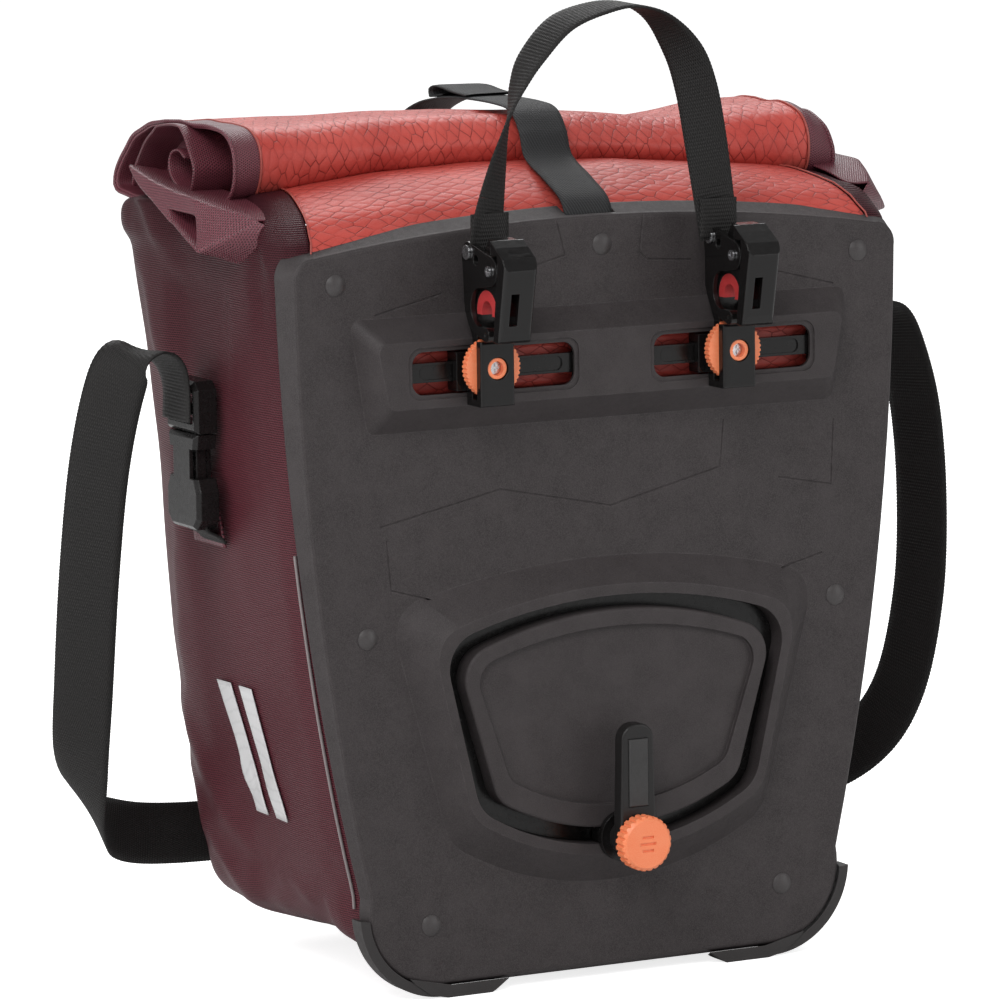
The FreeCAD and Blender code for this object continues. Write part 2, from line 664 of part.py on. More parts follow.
def roll_top():
    tube = roll_block(-ROLL_RED, ROLL_RED, 0.0).cut(roll_block(-ROLL_RED - 1, ROLL_RED + 1, ROLL_SKIN))
    fold = block((-ROLL_RED, ROLL_RED), (STIFFENER_Y[0] - 3, STIFFENER_Y[1] + 3),
                 (STIFFENER_Z[0] - 3, STIFFENER_Z[1] + 3))
    gap = block((-ROLL_RED - 1, ROLL_RED + 1), (STIFFENER_Y[0] - 0.1, STIFFENER_Y[1] + 0.1),
                (STIFFENER_Z[0] - 0.1, STIFFENER_Z[1] + 0.1))
    web = block((-ROLL_RED, ROLL_RED), (STIFFENER_Y[1] + 3, ROLL_Y[1] - ROLL_SKIN), (380.0, 383.0))
    return tube.fuse([fold, web]).cut(gap).removeSplitter()


def roll_end():
    cap = roll_block(ROLL_RED + 0.1, ROLL_HALF, 0.0)
    return cap.cut(roll_block(ROLL_RED + ROLL_SKIN, ROLL_HALF + 1, 7.0))


def roll_stiffener():
    return block((-ROLL_RED + 4, ROLL_RED - 4), STIFFENER_Y, STIFFENER_Z)


def side_skin(low, high):
    return bag_solid(high).cut(bag_solid(low))


def side_reflector():
    """Two plain slanted bars of reflective film on the side, drawn for the +x side."""
    bars = []
    for y0 in (62.0, 84.0):
        points = [(y0, 78.0), (y0 + 13.0, 78.0), (y0 + 29.0, 140.0), (y0 + 16.0, 140.0)]
        bars.append(prism_x(points, 100, 200))
    skin = side_skin(0.05, 0.75)
    return Part.makeCompound([skin.common(b) for b in bars])


def panel_piping():
    strip = block((100, 200), (CLOTH_STEP + 0.2, CLOTH_STEP + 2.2), (42.0, 214.0))
    return side_skin(0.05, 1.25).common(strip)


def buckle_patch():
    points = [(76, 208), (112, 208), (112, 240), (106, 246), (82, 246), (76, 240)]
    patch = side_skin(0.05, 1.3).common(prism_x(points, 100, 200))
    web = block((BUCKLE_X[0] - 12, BUCKLE_X[0]), (BUCKLE_Y - 15, BUCKLE_Y + 15), (214.0, 223.0))
    web = web.cut(bag_solid(0.9))
    return patch.fuse(web).removeSplitter()


def side_socket():
    """Waisted buckle body with a side window on each edge, where the plug's prongs show."""
    low, high = SOCKET_Z
    half, waist = BUCKLE_HALF, BUCKLE_HALF - 3.5
    right = [(half - 5, low), (half, low + 5), (half, low + 18), (waist, low + 25), (waist, high - 8), (half - 2, high)]
    ring = [(BUCKLE_Y + u, z) for u, z in right] + [(BUCKLE_Y - u, z) for u, z in reversed(right)]
    shell = prism_x(ring, *BUCKLE_X)
    shell = shell.makeChamfer(1.8, [e for e in shell.Edges if is_on_x(e, BUCKLE_X[1])])
    y = (BUCKLE_Y - waist + 3, BUCKLE_Y + waist - 3)
    shell = shell.cut(block((BUCKLE_X[0] + 2, BUCKLE_X[1] - 2), y, (PRONG_Z - 2, high + 1)))
    for y0 in (BUCKLE_Y - half - 1, BUCKLE_Y + waist - 5.0):
        shell = shell.cut(block(BUCKLE_X, (y0, y0 + half - waist + 6.0), WINDOW_Z))
    return shell.removeSplitter()


def side_plug():
    low, high = PLUG_Z
    top = BUCKLE_HALF - 1
    right = [(top, low), (top, high - 4), (top - 4, high)]
    ring = [(BUCKLE_Y + u, z) for u, z in right] + [(BUCKLE_Y - u, z) for u, z in reversed(right)]
    body = prism_x(ring, *BUCKLE_X)
    body = body.makeChamfer(1.8, [e for e in body.Edges if is_on_x(e, BUCKLE_X[1])])
    for z0 in (267.0, 277.0):
        body = body.cut(block((BUCKLE_X[0] - 1, BUCKLE_X[1] + 1), (BUCKLE_Y - 13.5, BUCKLE_Y + 13.5), (z0, z0 + 4.5)))
    x = (BUCKLE_X[0] + 3, BUCKLE_X[1] - 3)
    waist = BUCKLE_HALF - 3.5
    prongs = [
        block(x, (BUCKLE_Y - waist + 3.5, BUCKLE_Y - waist + 7.5), (PRONG_Z, low + 1)),
        block(x, (BUCKLE_Y - 2, BUCKLE_Y + 2), (PRONG_Z + 3, low + 1)),
        block(x, (BUCKLE_Y + waist - 7.5, BUCKLE_Y + waist - 3.5), (PRONG_Z, low + 1)),
    ]
    return body.fuse(prongs).removeSplitter()


def is_on_x(edge, x):
    return all(abs(v.X - x) < 0.01 for v in edge.Vertexes)


def strip(stations, width, thickness):
    """Webbing through (point, width direction) stations."""
    wires = []
    for i, (point, wide) in enumerate(stations):
        before = stations[max(i - 1, 0)][0]
        after = stations[min(i + 1, len(stations) - 1)][0]
        along = (after - before).normalize()
        across = (wide - along * wide.dot(along)).normalize()
        out = along.cross(across)
        a = across * (width / 2)
        b = out * (thickness / 2)
        wires.append(Part.makePolygon([point - a - b, point + a - b, point + a + b, point - a + b, point - a - b]))
    return Part.makeLoft(wires, True, True)


def flat_strip(path, width, thickness, place, direction):
    """Webbing whose centre line is a plane path: the path is thickened in its plane and pushed out sideways."""
    left, right = [], []
    for i, (u, v) in enumerate(path):
        u0, v0 = path[max(i - 1, 0)]
        u1, v1 = path[min(i + 1, len(path) - 1)]
        reach = math.hypot(u1 - u0, v1 - v0)
        du, dv = (v0 - v1) / reach * thickness / 2, (u1 - u0) / reach * thickness / 2
        left.append((u + du, v + dv))
        right.append((u - du, v - dv))
    ring = left + right[::-1]
    wire = outline(place, ring[0], ring[1:] + [ring[0]])
    return prism(wire, direction * width)


def strap_lean(x, most):
    """How far the band turns out of the side's plane: not at all where it is sewn to the plug."""
    return most * min(1.0, (x - STRAP_START_X) / 30.0)


def shoulder_strap():
    """The long strap, which hangs wider on the +x side; stations are x, y, z and how far the band faces up."""
    left = [
        (STRAP_START_X, 93, 266, 0), (STRAP_START_X, 93, 284, 0), (180, 93, 295, 0), (189, 93, 300.5, 0),
        (200, 95, 297, 0), (206, 99, 281, 0), (211, 106, 245, 0), (213, 115, 195, 0.05), (212, 127, 140, 0.3),
        (206, 146, 100, 0.7), (192, 170, 72, 1.3), (166, 195, 55, 3), (128, 210, 47, 9), (62, 219, 44, 9),
    ]
    right = [
        (STRAP_START_X, 93, 266, 0), (STRAP_START_X, 93, 284, 0), (181, 93, 295, 0), (193, 93, 301, 0),
        (208, 94, 296, 0), (219, 96, 277, 0), (229, 99, 245, 0), (235, 103, 200, 0.05), (236, 108, 150, 0.2),
        (230, 117, 102, 0.5), (218, 134, 72, 1), (196, 162, 53, 2), (166, 190, 46, 5), (128, 208, 44, 9),
        (62, 219, 43, 9),
    ]
    stations = [(V(-x, y, z), V(-strap_lean(x, 1.0), 1, lift)) for x, y, z, lift in left]
    stations.append((V(0, 222, 43), V(0, 0, 1)))
    stations += [(V(x, y, z), V(strap_lean(x, -0.45), 1, lift)) for x, y, z, lift in reversed(right)]
    return strip(stations[::-1], SHOULDER_W, WEB_T)


def carry_handle():
    path = [(-69, 360.5), (-64, 385), (-55, 411), (-43, 436), (-25, 452.5), (0, 459), (20, 453), (36, 436),
            (46, 411), (53, 385), (58, 360.5)]
    return flat_strip(path, HANDLE_W, WEB_T, at_y(PIN[0] - HANDLE_W / 2), V(0, 1, 0))


def closure_band(path):
    return flat_strip(path, CLOSURE_W, CLOSURE_T, at_x(CLOSURE_X - CLOSURE_W / 2), V(1, 0, 0))


def closure_strap():
    """The riveted length, from behind the panel up to the front of the roll."""
    path = [(4.15, 322), (4.15, 363), (10, 370), (30, 377), (50, 386), (62, 395), (70, 404.5), (84, 407)]
    return closure_band(path).cut(rod_y(RIVET_HOLE_R, 0, 10, 0, RIVET_TOP_Z))


def closure_strap_end():
    """The length over the roll and down to the plug, with its doubled loose tail."""
    band = closure_band([(84.5, 407), (128, 407.4), (170, 407), (187, 405), (195, 398), (198.3, 386), (198.3, 331)])
    tail = closure_band([(140, 408.4), (158, 410), (172, 411), (184, 409)])
    return band.fuse(tail).removeSplitter()


def closure_socket():
    x = (-CLOSURE_HALF, CLOSURE_HALF)
    shell = block(x, CLOSURE_Y, CLOSURE_SOCKET_Z)
    hollow = block((x[0] + 4, x[1] - 4), (CLOSURE_Y[0] + 2, CLOSURE_Y[1] - 2),
                   (CLOSURE_PRONG_Z - 2, CLOSURE_SOCKET_Z[1] + 1))
    shell = shell.makeFillet(3.0, [e for e in shell.Edges if abs(e.Vertexes[0].Z - e.Vertexes[-1].Z) > 1])
    shell = shell.cut(hollow)
    for x0 in (x[0] - 1, x[1] - 4.5):
        shell = shell.cut(block((x0, x0 + 5.5), CLOSURE_Y, (278.0, 290.0)))
    return shell.removeSplitter()


def closure_plug():
    x = (-CLOSURE_HALF, CLOSURE_HALF)
    body = block(x, CLOSURE_Y, CLOSURE_PLUG_Z)
    body = body.makeFillet(3.0, [e for e in body.Edges if abs(e.Vertexes[0].Z - e.Vertexes[-1].Z) > 1])
    for z0 in (307.0, 319.0):
        body = body.cut(block((x[0] + 3, x[1] - 3), (CLOSURE_Y[0] - 1, CLOSURE_Y[1] + 1), (z0, z0 + 5)))
    y = (CLOSURE_Y[0] + 3, CLOSURE_Y[1] - 3)
    prongs = [block((x0, x0 + 4), y, (CLOSURE_PRONG_Z, CLOSURE_PLUG_Z[0] + 1)) for x0 in (-12, -2, 8)]
    return body.fuse(prongs).removeSplitter()


def closure_anchor():
    path = [(163.5, 236), (165.5, 248), (176, 256), (194, 259.5), (200, 261)]
    return closure_band(path).cut(bag_solid(0.05)).Solids[0]


def place_hook(shape, x):
    moved = shape.copy()
    moved.translate(V(x, 0, 0))
    return moved


def main():
    export("back_panel", back_panel())
    export("panel_rivets", panel_rivets())
    export("rivet_washers", rivet_washers())
    export("track_plate", track_plate())
    export("centre_shield", centre_shield())
    export("track_shoe", track_shoe())
    export("strut_arm", strut_arm())
    export("arm_pad", arm_pad())
    export("clamp_knob", clamp_knob())
    export("knob_screw", knob_screw())
    for node, shape in bag_panels().items():
        export(node, shape)
    export("roll_top", roll_top())
    export("roll_stiffener", roll_stiffener())
    pairs = {
        "corner_guard": corner_guard(), "roll_end": roll_end(), "side_reflector": side_reflector(),
        "panel_piping": panel_piping(), "buckle_patch": buckle_patch(), "side_socket": side_socket(),
        "side_plug": side_plug(),
    }
    for node, shape in pairs.items():
        export(node + "_right", shape)
        export(node + "_left", mirror_x(shape))
    export("shoulder_strap", shoulder_strap())
    export("carry_handle", carry_handle())
    export("closure_strap", closure_strap())
    export("closure_strap_end", closure_strap_end())
    export("closure_plug", closure_plug())
    export("closure_socket", closure_socket())
    export("closure_anchor", closure_anchor())
    hook_pieces = {
        "hook_slider": hook_slider(), "hook_body": hook_body(), "tube_insert": tube_insert(),
        "pivot_screw": pivot_screw(), "clamp_screw": clamp_screw(), "thumbwheel": thumbwheel(),
        "hook_lever": hook_lever(), "handle_pin": handle_pin(),
    }
    for side, word in ((0, "left"), (1, "right")):
        export("hook_rail_" + word, hook_rail((-1, 1)[side]))
        for node, shape in hook_pieces.items():
            export(node + "_" + word, place_hook(shape, HOOK_X[side]))


main()
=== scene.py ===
import math
import bmesh
import bpy
import numpy as np
from mathutils import Matrix, Vector, noise
from mathutils.bvhtree import BVHTree


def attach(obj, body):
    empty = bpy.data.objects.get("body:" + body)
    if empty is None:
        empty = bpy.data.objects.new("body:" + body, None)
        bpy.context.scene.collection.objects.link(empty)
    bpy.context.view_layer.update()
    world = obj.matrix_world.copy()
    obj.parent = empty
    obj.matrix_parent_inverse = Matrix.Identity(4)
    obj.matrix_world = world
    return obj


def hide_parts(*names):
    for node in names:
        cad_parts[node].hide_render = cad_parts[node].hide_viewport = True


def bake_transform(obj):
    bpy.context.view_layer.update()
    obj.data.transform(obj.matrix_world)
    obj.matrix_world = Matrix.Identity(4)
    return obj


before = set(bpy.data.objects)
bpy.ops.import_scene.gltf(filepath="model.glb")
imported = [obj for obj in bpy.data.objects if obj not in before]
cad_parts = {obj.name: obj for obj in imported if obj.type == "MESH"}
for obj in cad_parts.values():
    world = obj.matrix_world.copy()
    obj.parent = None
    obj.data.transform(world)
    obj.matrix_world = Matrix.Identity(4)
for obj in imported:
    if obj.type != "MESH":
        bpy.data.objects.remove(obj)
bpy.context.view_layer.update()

# ---- measures in mm: x across, y out from the rack side of the panel, z up from the floor ----
ORIGIN_SHIFT = (0.0, 27.5, -323.5)      # from these to the frame's own origin
# the body
NECK_Z = 345.0                          # where the walls end and the dome over them starts
BOTTOM_Z = 33.0                         # the lower edge of the red front wall
WRAP_Z = 11.0                           # where the sides and the back meet the bottom
FRONT_Y = 5.6                           # the front wall, just behind the panel
SEAM_IN = 12.0                          # from the outline of the panel in to the side seams
BACK_CORNER = 26.0                      # the width of the rounded rear corners
BOTTOM_CENTRE = (0.0, 82.0, 3.4)
CLOTH_T = 1.2
POCKET_Z = (280.5, 308.2)               # the hollow behind the hook rails, which the front wall swells into
POCKET_X = 116.0
POCKET_DEPTH = 8.0
FRONT_COLS = 56
SIDE_COLS = 42
BODY_ROWS = 84
DOME_ROWS = 16
# the cloth simulation
SIM_FRAMES = 20
SIM_PRESSURE = 4.0
SIM_EXTRA = 0.022                       # how much larger the fabric is cut, as a share
SIM_CAP = (0.7, 3.0)                    # how far a point may move: round the buckles, and elsewhere
SIM_FLOOR_CAP = 0.5                     # and where the bag stands
# the roll
ROLL_SEAM = 147.0                       # where the red part ends
ROLL_OUT = 161.0                        # and where the burgundy ends do
ROLL_T = 1.6
ROLL_END_T = 1.8
TUCK_X = 145.5                          # the fabric that closes the roll inside
TUCK_IN = 1.75
CREASE = ([-173, -135, -83, -37, 41, 89, 128, 164], [373, 375, 381, 383, 381, 377, 372, 364])
ROLL_TOP = ([-172, -133, -81, -28, 37, 70, 92, 125, 150, 161, 168],
            [406, 406.5, 406, 404.5, 401, 397.5, 397, 401, 402, 396, 389])
ROLL_FRONT = ([-172, -133, -81, 0, 60, 110, 150, 168], [56, 60, 65, 67, 68, 67, 62, 66])
# the webbing
WEB_PITCH = 1.7                         # from rib to rib
RIB_STEPS = 4
WEB_T = 1.7
HANDLE_W = 20.0
CLOSURE_W = 25.0
SHOULDER_W = 30.0
HANDLE_Y = -15.0
PIN_TOP = 357.0                         # the handle's feet lie by the levers up to here,
FOOT_TOP = 373.0                        # and by the hooks up to here, where they end,
LEG_TOP = 424.0                         # its legs lie along the bag up to here,
ARCH_FREE = 450.0                       # and its arch rises free from here up
CLOSURE_BEND = (("root", "closure_clip"), (0, 84, 400), (0, 196, 336))
# both sides of the bag, and the buckles on them
SIDES = (("left", -1), ("right", 1))
BUCKLE_Y, BUCKLE_Z = 93.0, 248.0        # their middle
PLUG_Z = (196.0, 338.0)                 # the heights between which the plugs slide
BUCKLE_BACK = 160.4                     # the fabric keeps behind this where the plugs slide
BUCKLE_EYE_X = 176.4                    # where the shoulder strap leaves them


def row(points):
    """Bag millimetres to the row frame's metres."""
    return (np.asarray(points, float) + ORIGIN_SHIFT) / 1000.0


def unit(v):
    """Vectors made one long."""
    return v / np.maximum(np.linalg.norm(v, axis=-1, keepdims=True), 1e-9)


def ease(t):
    """A soft step from 0 to 1."""
    t = np.clip(t, 0, 1)
    return t * t * (3 - 2 * t)


def curve(points, count, closed=False):
    """Evenly spaced points along a smooth line through the given ones."""
    p = np.asarray(points, float)
    if closed:
        ext = np.vstack([p[-1:], p, p[:2]])
    else:
        ext = np.vstack([2 * p[0] - p[1], p, 2 * p[-1] - p[-2]])
    t = np.linspace(0, 1, 16, endpoint=False)[:, None]
    fine = []
    for a, b, c, d in zip(ext, ext[1:], ext[2:], ext[3:]):
        fine.append(0.5 * (2 * b + (c - a) * t + (2 * a - 5 * b + 4 * c - d) * t ** 2
                           + (3 * b - a - 3 * c + d) * t ** 3))
    fine = np.vstack(fine + [p[:1] if closed else p[-1:]])
    run = np.concatenate([[0], np.cumsum(np.linalg.norm(np.diff(fine, axis=0), axis=1))])
    at = np.linspace(0, run[-1], count, endpoint=not closed)
    return np.stack([np.interp(at, run, fine[:, k]) for k in range(p.shape[1])], axis=1)


def ripples(points, size, seed):
    """Smooth noise for a grid of mm points, about -1 to 1: size is its scale along each axis."""
    flat = points.reshape(-1, 3) / size + (seed, -seed, 2 * seed)
    return np.array([noise.noise(Vector(p)) for p in flat]).reshape(points.shape[:-1])


def link_object(name, mesh):
    obj = bpy.data.objects.new(name, mesh)
    bpy.context.scene.collection.objects.link(obj)
    return obj


def smooth(mesh):
    mesh.polygons.foreach_set("use_smooth", [True] * len(mesh.polygons))


def thicken(obj, thick, offset=-1.0):
    """Gives a sheet its thickness in mm: an offset of -1 keeps the sheet as the outer face."""
    solid = obj.modifiers.new("thickness", "SOLIDIFY")
    solid.thickness = thick / 1000.0
    solid.offset = offset


def subdivide(obj, level):
    made = obj.modifiers.new("smooth", "SUBSURF")
    made.levels = made.render_levels = level


def grid_normals(grid, wrap):
    """The normal at each point of a grid: inwards for the body, and for the roll where x grows."""
    if wrap:
        across = np.roll(grid, -1, axis=1) - np.roll(grid, 1, axis=1)
    else:
        across = np.gradient(grid, axis=1)
    return unit(np.cross(across, np.gradient(grid, axis=0)))


def sheet(name, grid, wrap=False, thick=0.0, level=0):
    """A mesh from rows and columns of points in mm, with a UV map in metres along its rows and columns."""
    rows, cols = grid.shape[:2]
    steps = np.linalg.norm(np.diff(grid, axis=1), axis=2)
    u = np.concatenate([np.zeros((rows, 1)), np.cumsum(steps, axis=1)], axis=1).mean(axis=0)
    steps = np.linalg.norm(np.diff(grid, axis=0), axis=2)
    v = np.concatenate([np.zeros((1, cols)), np.cumsum(steps, axis=0)], axis=0).mean(axis=1)
    u_next = np.append(u[1:], u[-1] + (u[-1] - u[-2]))
    faces = []
    uvs = []
    for i in range(rows - 1):
        for j in range(cols if wrap else cols - 1):
            k = (j + 1) % cols
            faces.append((i * cols + j, i * cols + k, (i + 1) * cols + k, (i + 1) * cols + j))
            uvs += [(u[j], v[i]), (u_next[j], v[i]), (u_next[j], v[i + 1]), (u[j], v[i + 1])]
    mesh = bpy.data.meshes.new(name)
    mesh.from_pydata(row(grid.reshape(-1, 3)).tolist(), [], faces)
    layer = mesh.uv_layers.new(name="weave")
    layer.data.foreach_set("uv", (np.array(uvs) / 1000.0).ravel())
    smooth(mesh)
    obj = link_object(name, mesh)
    if thick:
        thicken(obj, thick)
    if level:
        subdivide(obj, level)
    return obj


def flat_weave(obj, a, b):
    """Lays the weave of a nearly flat piece along two of the axes."""
    mesh = obj.data
    layer = mesh.uv_layers["weave"]
    for loop in mesh.loops:
        place = mesh.vertices[loop.vertex_index].co
        layer.data[loop.index].uv = (place[a], place[b])


def tube(name, path, radius):
    """A thin round cord along a path of mm points that keeps nearly the same x."""
    path = np.asarray(path, float)
    tangent = unit(np.gradient(path, axis=0))
    side = unit(np.cross(tangent, (1.0, 0.0, 0.0)))
    up = np.cross(side, tangent)
    rings = []
    for a in np.arange(8) * math.tau / 8:
        rings.append(path + radius * (side * math.cos(a) + up * math.sin(a)))
    return sheet(name, np.stack(rings, axis=1), wrap=True)


def webbing(name, path, across, width, thick, depth=0.3, pitch=WEB_PITCH):
    """Ribbed webbing through centre points, with a width direction at each."""
    path = np.asarray(path, float)
    length = np.linalg.norm(np.diff(curve(path, 200), axis=0), axis=1).sum()
    count = int(length / pitch) * RIB_STEPS + 1
    both = curve(np.hstack([path, np.asarray(across, float) * 12.0]), count)
    centre = both[:, :3]
    tangent = unit(np.gradient(centre, axis=0))
    wide = both[:, 3:]
    wide = unit(wide - tangent * (wide * tangent).sum(axis=1, keepdims=True))
    up = np.cross(tangent, wide)
    rib = np.abs(np.sin(math.pi * np.arange(count) / RIB_STEPS)) - 0.5
    edge = np.linspace(-1, 1, 9)
    ring = []
    for face in (1, -1):
        for e in edge * face:
            body = thick / 2 * (1 - 0.55 * abs(e) ** 6)
            high = body + depth * rib * (1 - 0.6 * abs(e) ** 4)
            reach = width / 2 * e * (1 + 0.012 * rib * abs(e) ** 8)
            ring.append(centre + wide * reach[:, None] + up * (face * high)[:, None])
    return sheet(name, np.stack(ring, axis=1), wrap=True)


# ---- materials ----
class Look:
    """A node material being put together. Lengths are in metres."""

    def __init__(self, name, coords="Object"):
        self.material = bpy.data.materials.new(name)
        self.material.use_nodes = True
        self.tree = self.material.node_tree
        self.shader = self.tree.nodes["Principled BSDF"]
        self.place = self.node("ShaderNodeTexCoord").outputs[coords]
        self.normal = None

    def node(self, kind, settings=None, **inputs):
        made = self.tree.nodes.new(kind)
        for key, value in (settings or {}).items():
            setattr(made, key, value)
        for key, value in inputs.items():
            self.feed(made.inputs[key.replace("_", " ")], value)
        return made

    def feed(self, socket, value):
        if isinstance(value, bpy.types.NodeSocket):
            self.tree.links.new(value, socket)
        elif isinstance(value, tuple) and len(value) == 3 and socket.type == "RGBA":
            socket.default_value = value + (1.0,)
        else:
            socket.default_value = value

    def stretched(self, stretch, turn=0.0):
        turned = (0.0, 0.0, turn)
        return self.node("ShaderNodeMapping", Vector=self.place, Scale=stretch, Rotation=turned).outputs[0]

    def grain(self, scale, detail=3.0, stretch=None):
        """Noise, from 0 to 1."""
        place = self.stretched(stretch) if stretch else self.place
        made = self.node("ShaderNodeTexNoise", Vector=place, Scale=scale, Detail=detail, Roughness=0.55)
        return made.outputs[0]

    def cells(self, scale, stretch, random, warp=0.0, turn=0.0):
        """How far a point is from the nearest line of a net."""
        place = self.stretched(stretch, turn) if stretch else self.place
        if warp:
            cloud = self.node("ShaderNodeTexNoise", Vector=place, Scale=scale * 0.6, Detail=1.0)
            bend = self.node("ShaderNodeVectorMath", {"operation": "SCALE"}, Scale=warp)
            self.feed(bend.inputs[0], cloud.outputs["Color"])
            place = self.pair("ShaderNodeVectorMath", "ADD", place, bend.outputs[0])[0]
        settings = {"feature": "DISTANCE_TO_EDGE", "voronoi_dimensions": "2D"}
        made = self.node("ShaderNodeTexVoronoi", settings, Vector=place, Scale=scale, Randomness=random)
        return made.outputs["Distance"]

    def pair(self, kind, how, a, b):
        made = self.node(kind, {"operation": how})
        self.feed(made.inputs[0], a)
        self.feed(made.inputs[1], b)
        return made.outputs

    def calc(self, how, a, b=0.0):
        return self.pair("ShaderNodeMath", how, a, b)[0]

    def span(self, value, low, high, to_low=0.0, to_high=1.0):
        """Maps low..high to to_low..to_high, and holds outside."""
        made = self.node("ShaderNodeMapRange", Value=value)
        for k, v in zip(("From Min", "From Max", "To Min", "To Max"), (low, high, to_low, to_high)):
            made.inputs[k].default_value = v
        return made.outputs[0]

    def mix(self, share, a, b):
        made = self.node("ShaderNodeMix", {"data_type": "RGBA"})
        for k, v in ((0, share), (6, a), (7, b)):
            self.feed(made.inputs[k], v)
        return made.outputs[2]

    def axis(self, k):
        return self.node("ShaderNodeSeparateXYZ", Vector=self.place).outputs[k]

    def waves(self, value, pitch):
        return self.calc("SINE", self.calc("MULTIPLY", value, math.tau / pitch))

    def rounded(self, radius):
        """Softens the look of moulded edges, and returns how near an edge a point is."""
        soft = self.node("ShaderNodeBevel", {"samples": 4}, Radius=radius).outputs[0]
        self.normal = soft
        sharp = self.node("ShaderNodeNewGeometry").outputs["Normal"]
        dot = self.pair("ShaderNodeVectorMath", "DOT_PRODUCT", soft, sharp)["Value"]
        return self.span(dot, 1.0, 0.93)

    def bump(self, height, distance, strength):
        made = self.node("ShaderNodeBump", Height=height, Distance=distance, Strength=strength)
        if self.normal:
            self.feed(made.inputs["Normal"], self.normal)
        self.normal = made.outputs[0]

    def done(self, colour, rough, metal=0.0, shine=0.5, **more):
        self.feed(self.shader.inputs["Base Color"], colour)
        self.feed(self.shader.inputs["Roughness"], rough)
        self.feed(self.shader.inputs["Metallic"], metal)
        self.feed(self.shader.inputs["Specular IOR Level"], shine)
        for key, value in more.items():
            self.feed(self.shader.inputs[key.replace("_", " ")], value)
        if self.normal:
            self.feed(self.shader.inputs["Normal"], self.normal)
        return self.material


def moulded(name, colour, light, rough, grain_size, grain_depth, edge, worn=0.35, **more):
    """Moulded plastic: grain, mottling, softened and slightly rubbed edges."""
    look = Look(name)
    rim = look.rounded(edge)
    speck = look.grain(1.0 / grain_size, 2.0)
    cloud = look.grain(70.0, 4.0)
    tone = look.mix(look.span(speck, 0.3, 0.7), colour, light)
    tone = look.mix(look.span(cloud, 0.35, 0.7, 0.0, 0.5), tone, light)
    rub = look.calc("MULTIPLY", rim, look.span(look.grain(260.0, 3.0), 0.45, 0.65, 0.1, worn))
    tone = look.mix(rub, tone, tuple(min(1.0, c * 2.2 + 0.03) for c in light))
    look.bump(speck, grain_depth, 0.6)
    gloss = look.span(look.grain(420.0, 3.0), 0.3, 0.7, rough - 0.05, rough + 0.07)
    return look.done(tone, gloss, **more)


def metal(name, colour, rough):
    """Plated steel with a fine brushed grain."""
    look = Look(name)
    look.rounded(0.0002)
    brushed = look.grain(900.0, 3.0, (1.0, 6.0, 1.0))
    look.bump(brushed, 0.00002, 0.5)
    tone = look.mix(look.span(look.grain(300.0), 0.35, 0.7), colour, tuple(c * 0.72 for c in colour))
    return look.done(tone, look.span(brushed, 0.3, 0.7, rough - 0.05, rough + 0.15), 1.0)


def burgundy_weave(name, rib, light, dark, shine, painted_shade=0.0):
    """Burgundy twill with paler yarn tops, partly painted highlight: rib is the share of rows over dots, and
    the last argument sets how much painted shadow darkens it upwards, for the roll's shadow on the side.
    """
    look = Look(name, "UV")
    u, v = look.axis(0), look.axis(1)
    slip = look.calc("MULTIPLY", look.grain(260.0, 1.0), 0.0005)
    dots = look.calc("MULTIPLY", look.waves(look.calc("ADD", u, slip), 0.00125), look.waves(v, 0.0022))
    ribs = look.waves(look.calc("ADD", v, slip), 0.0011)
    yarn = look.calc("ADD", look.calc("MULTIPLY", dots, 1.0 - rib), look.calc("MULTIPLY", ribs, rib))
    yarn = look.calc("ADD", yarn, look.calc("MULTIPLY", look.grain(900.0, 2.0), 0.7))
    cloud = look.grain(22.0, 4.0)
    # partly painted highlight: the yarn tops are mixed towards the pale tone, as where the weave catches the
    # light
    tone = look.mix(look.span(yarn, -0.5, 1.25), dark, light)
    tone = look.mix(look.span(cloud, 0.35, 0.7, 0.0, 0.25), tone, tuple(c * 0.6 for c in light))
    # painted shadow: the colour darkens towards the top, standing in for the shadow of the roll that
    # overhangs the side
    place = look.node("ShaderNodeTexCoord").outputs["Object"]
    height = look.node("ShaderNodeSeparateXYZ", Vector=place).outputs[2]
    tone = look.mix(look.span(height, -0.07, 0.03, 0.0, painted_shade), tone, dark)
    look.bump(yarn, 0.00022, 0.7)
    return look.done(tone, look.span(yarn, -1.0, 1.0, 0.56, 0.32), shine=shine)


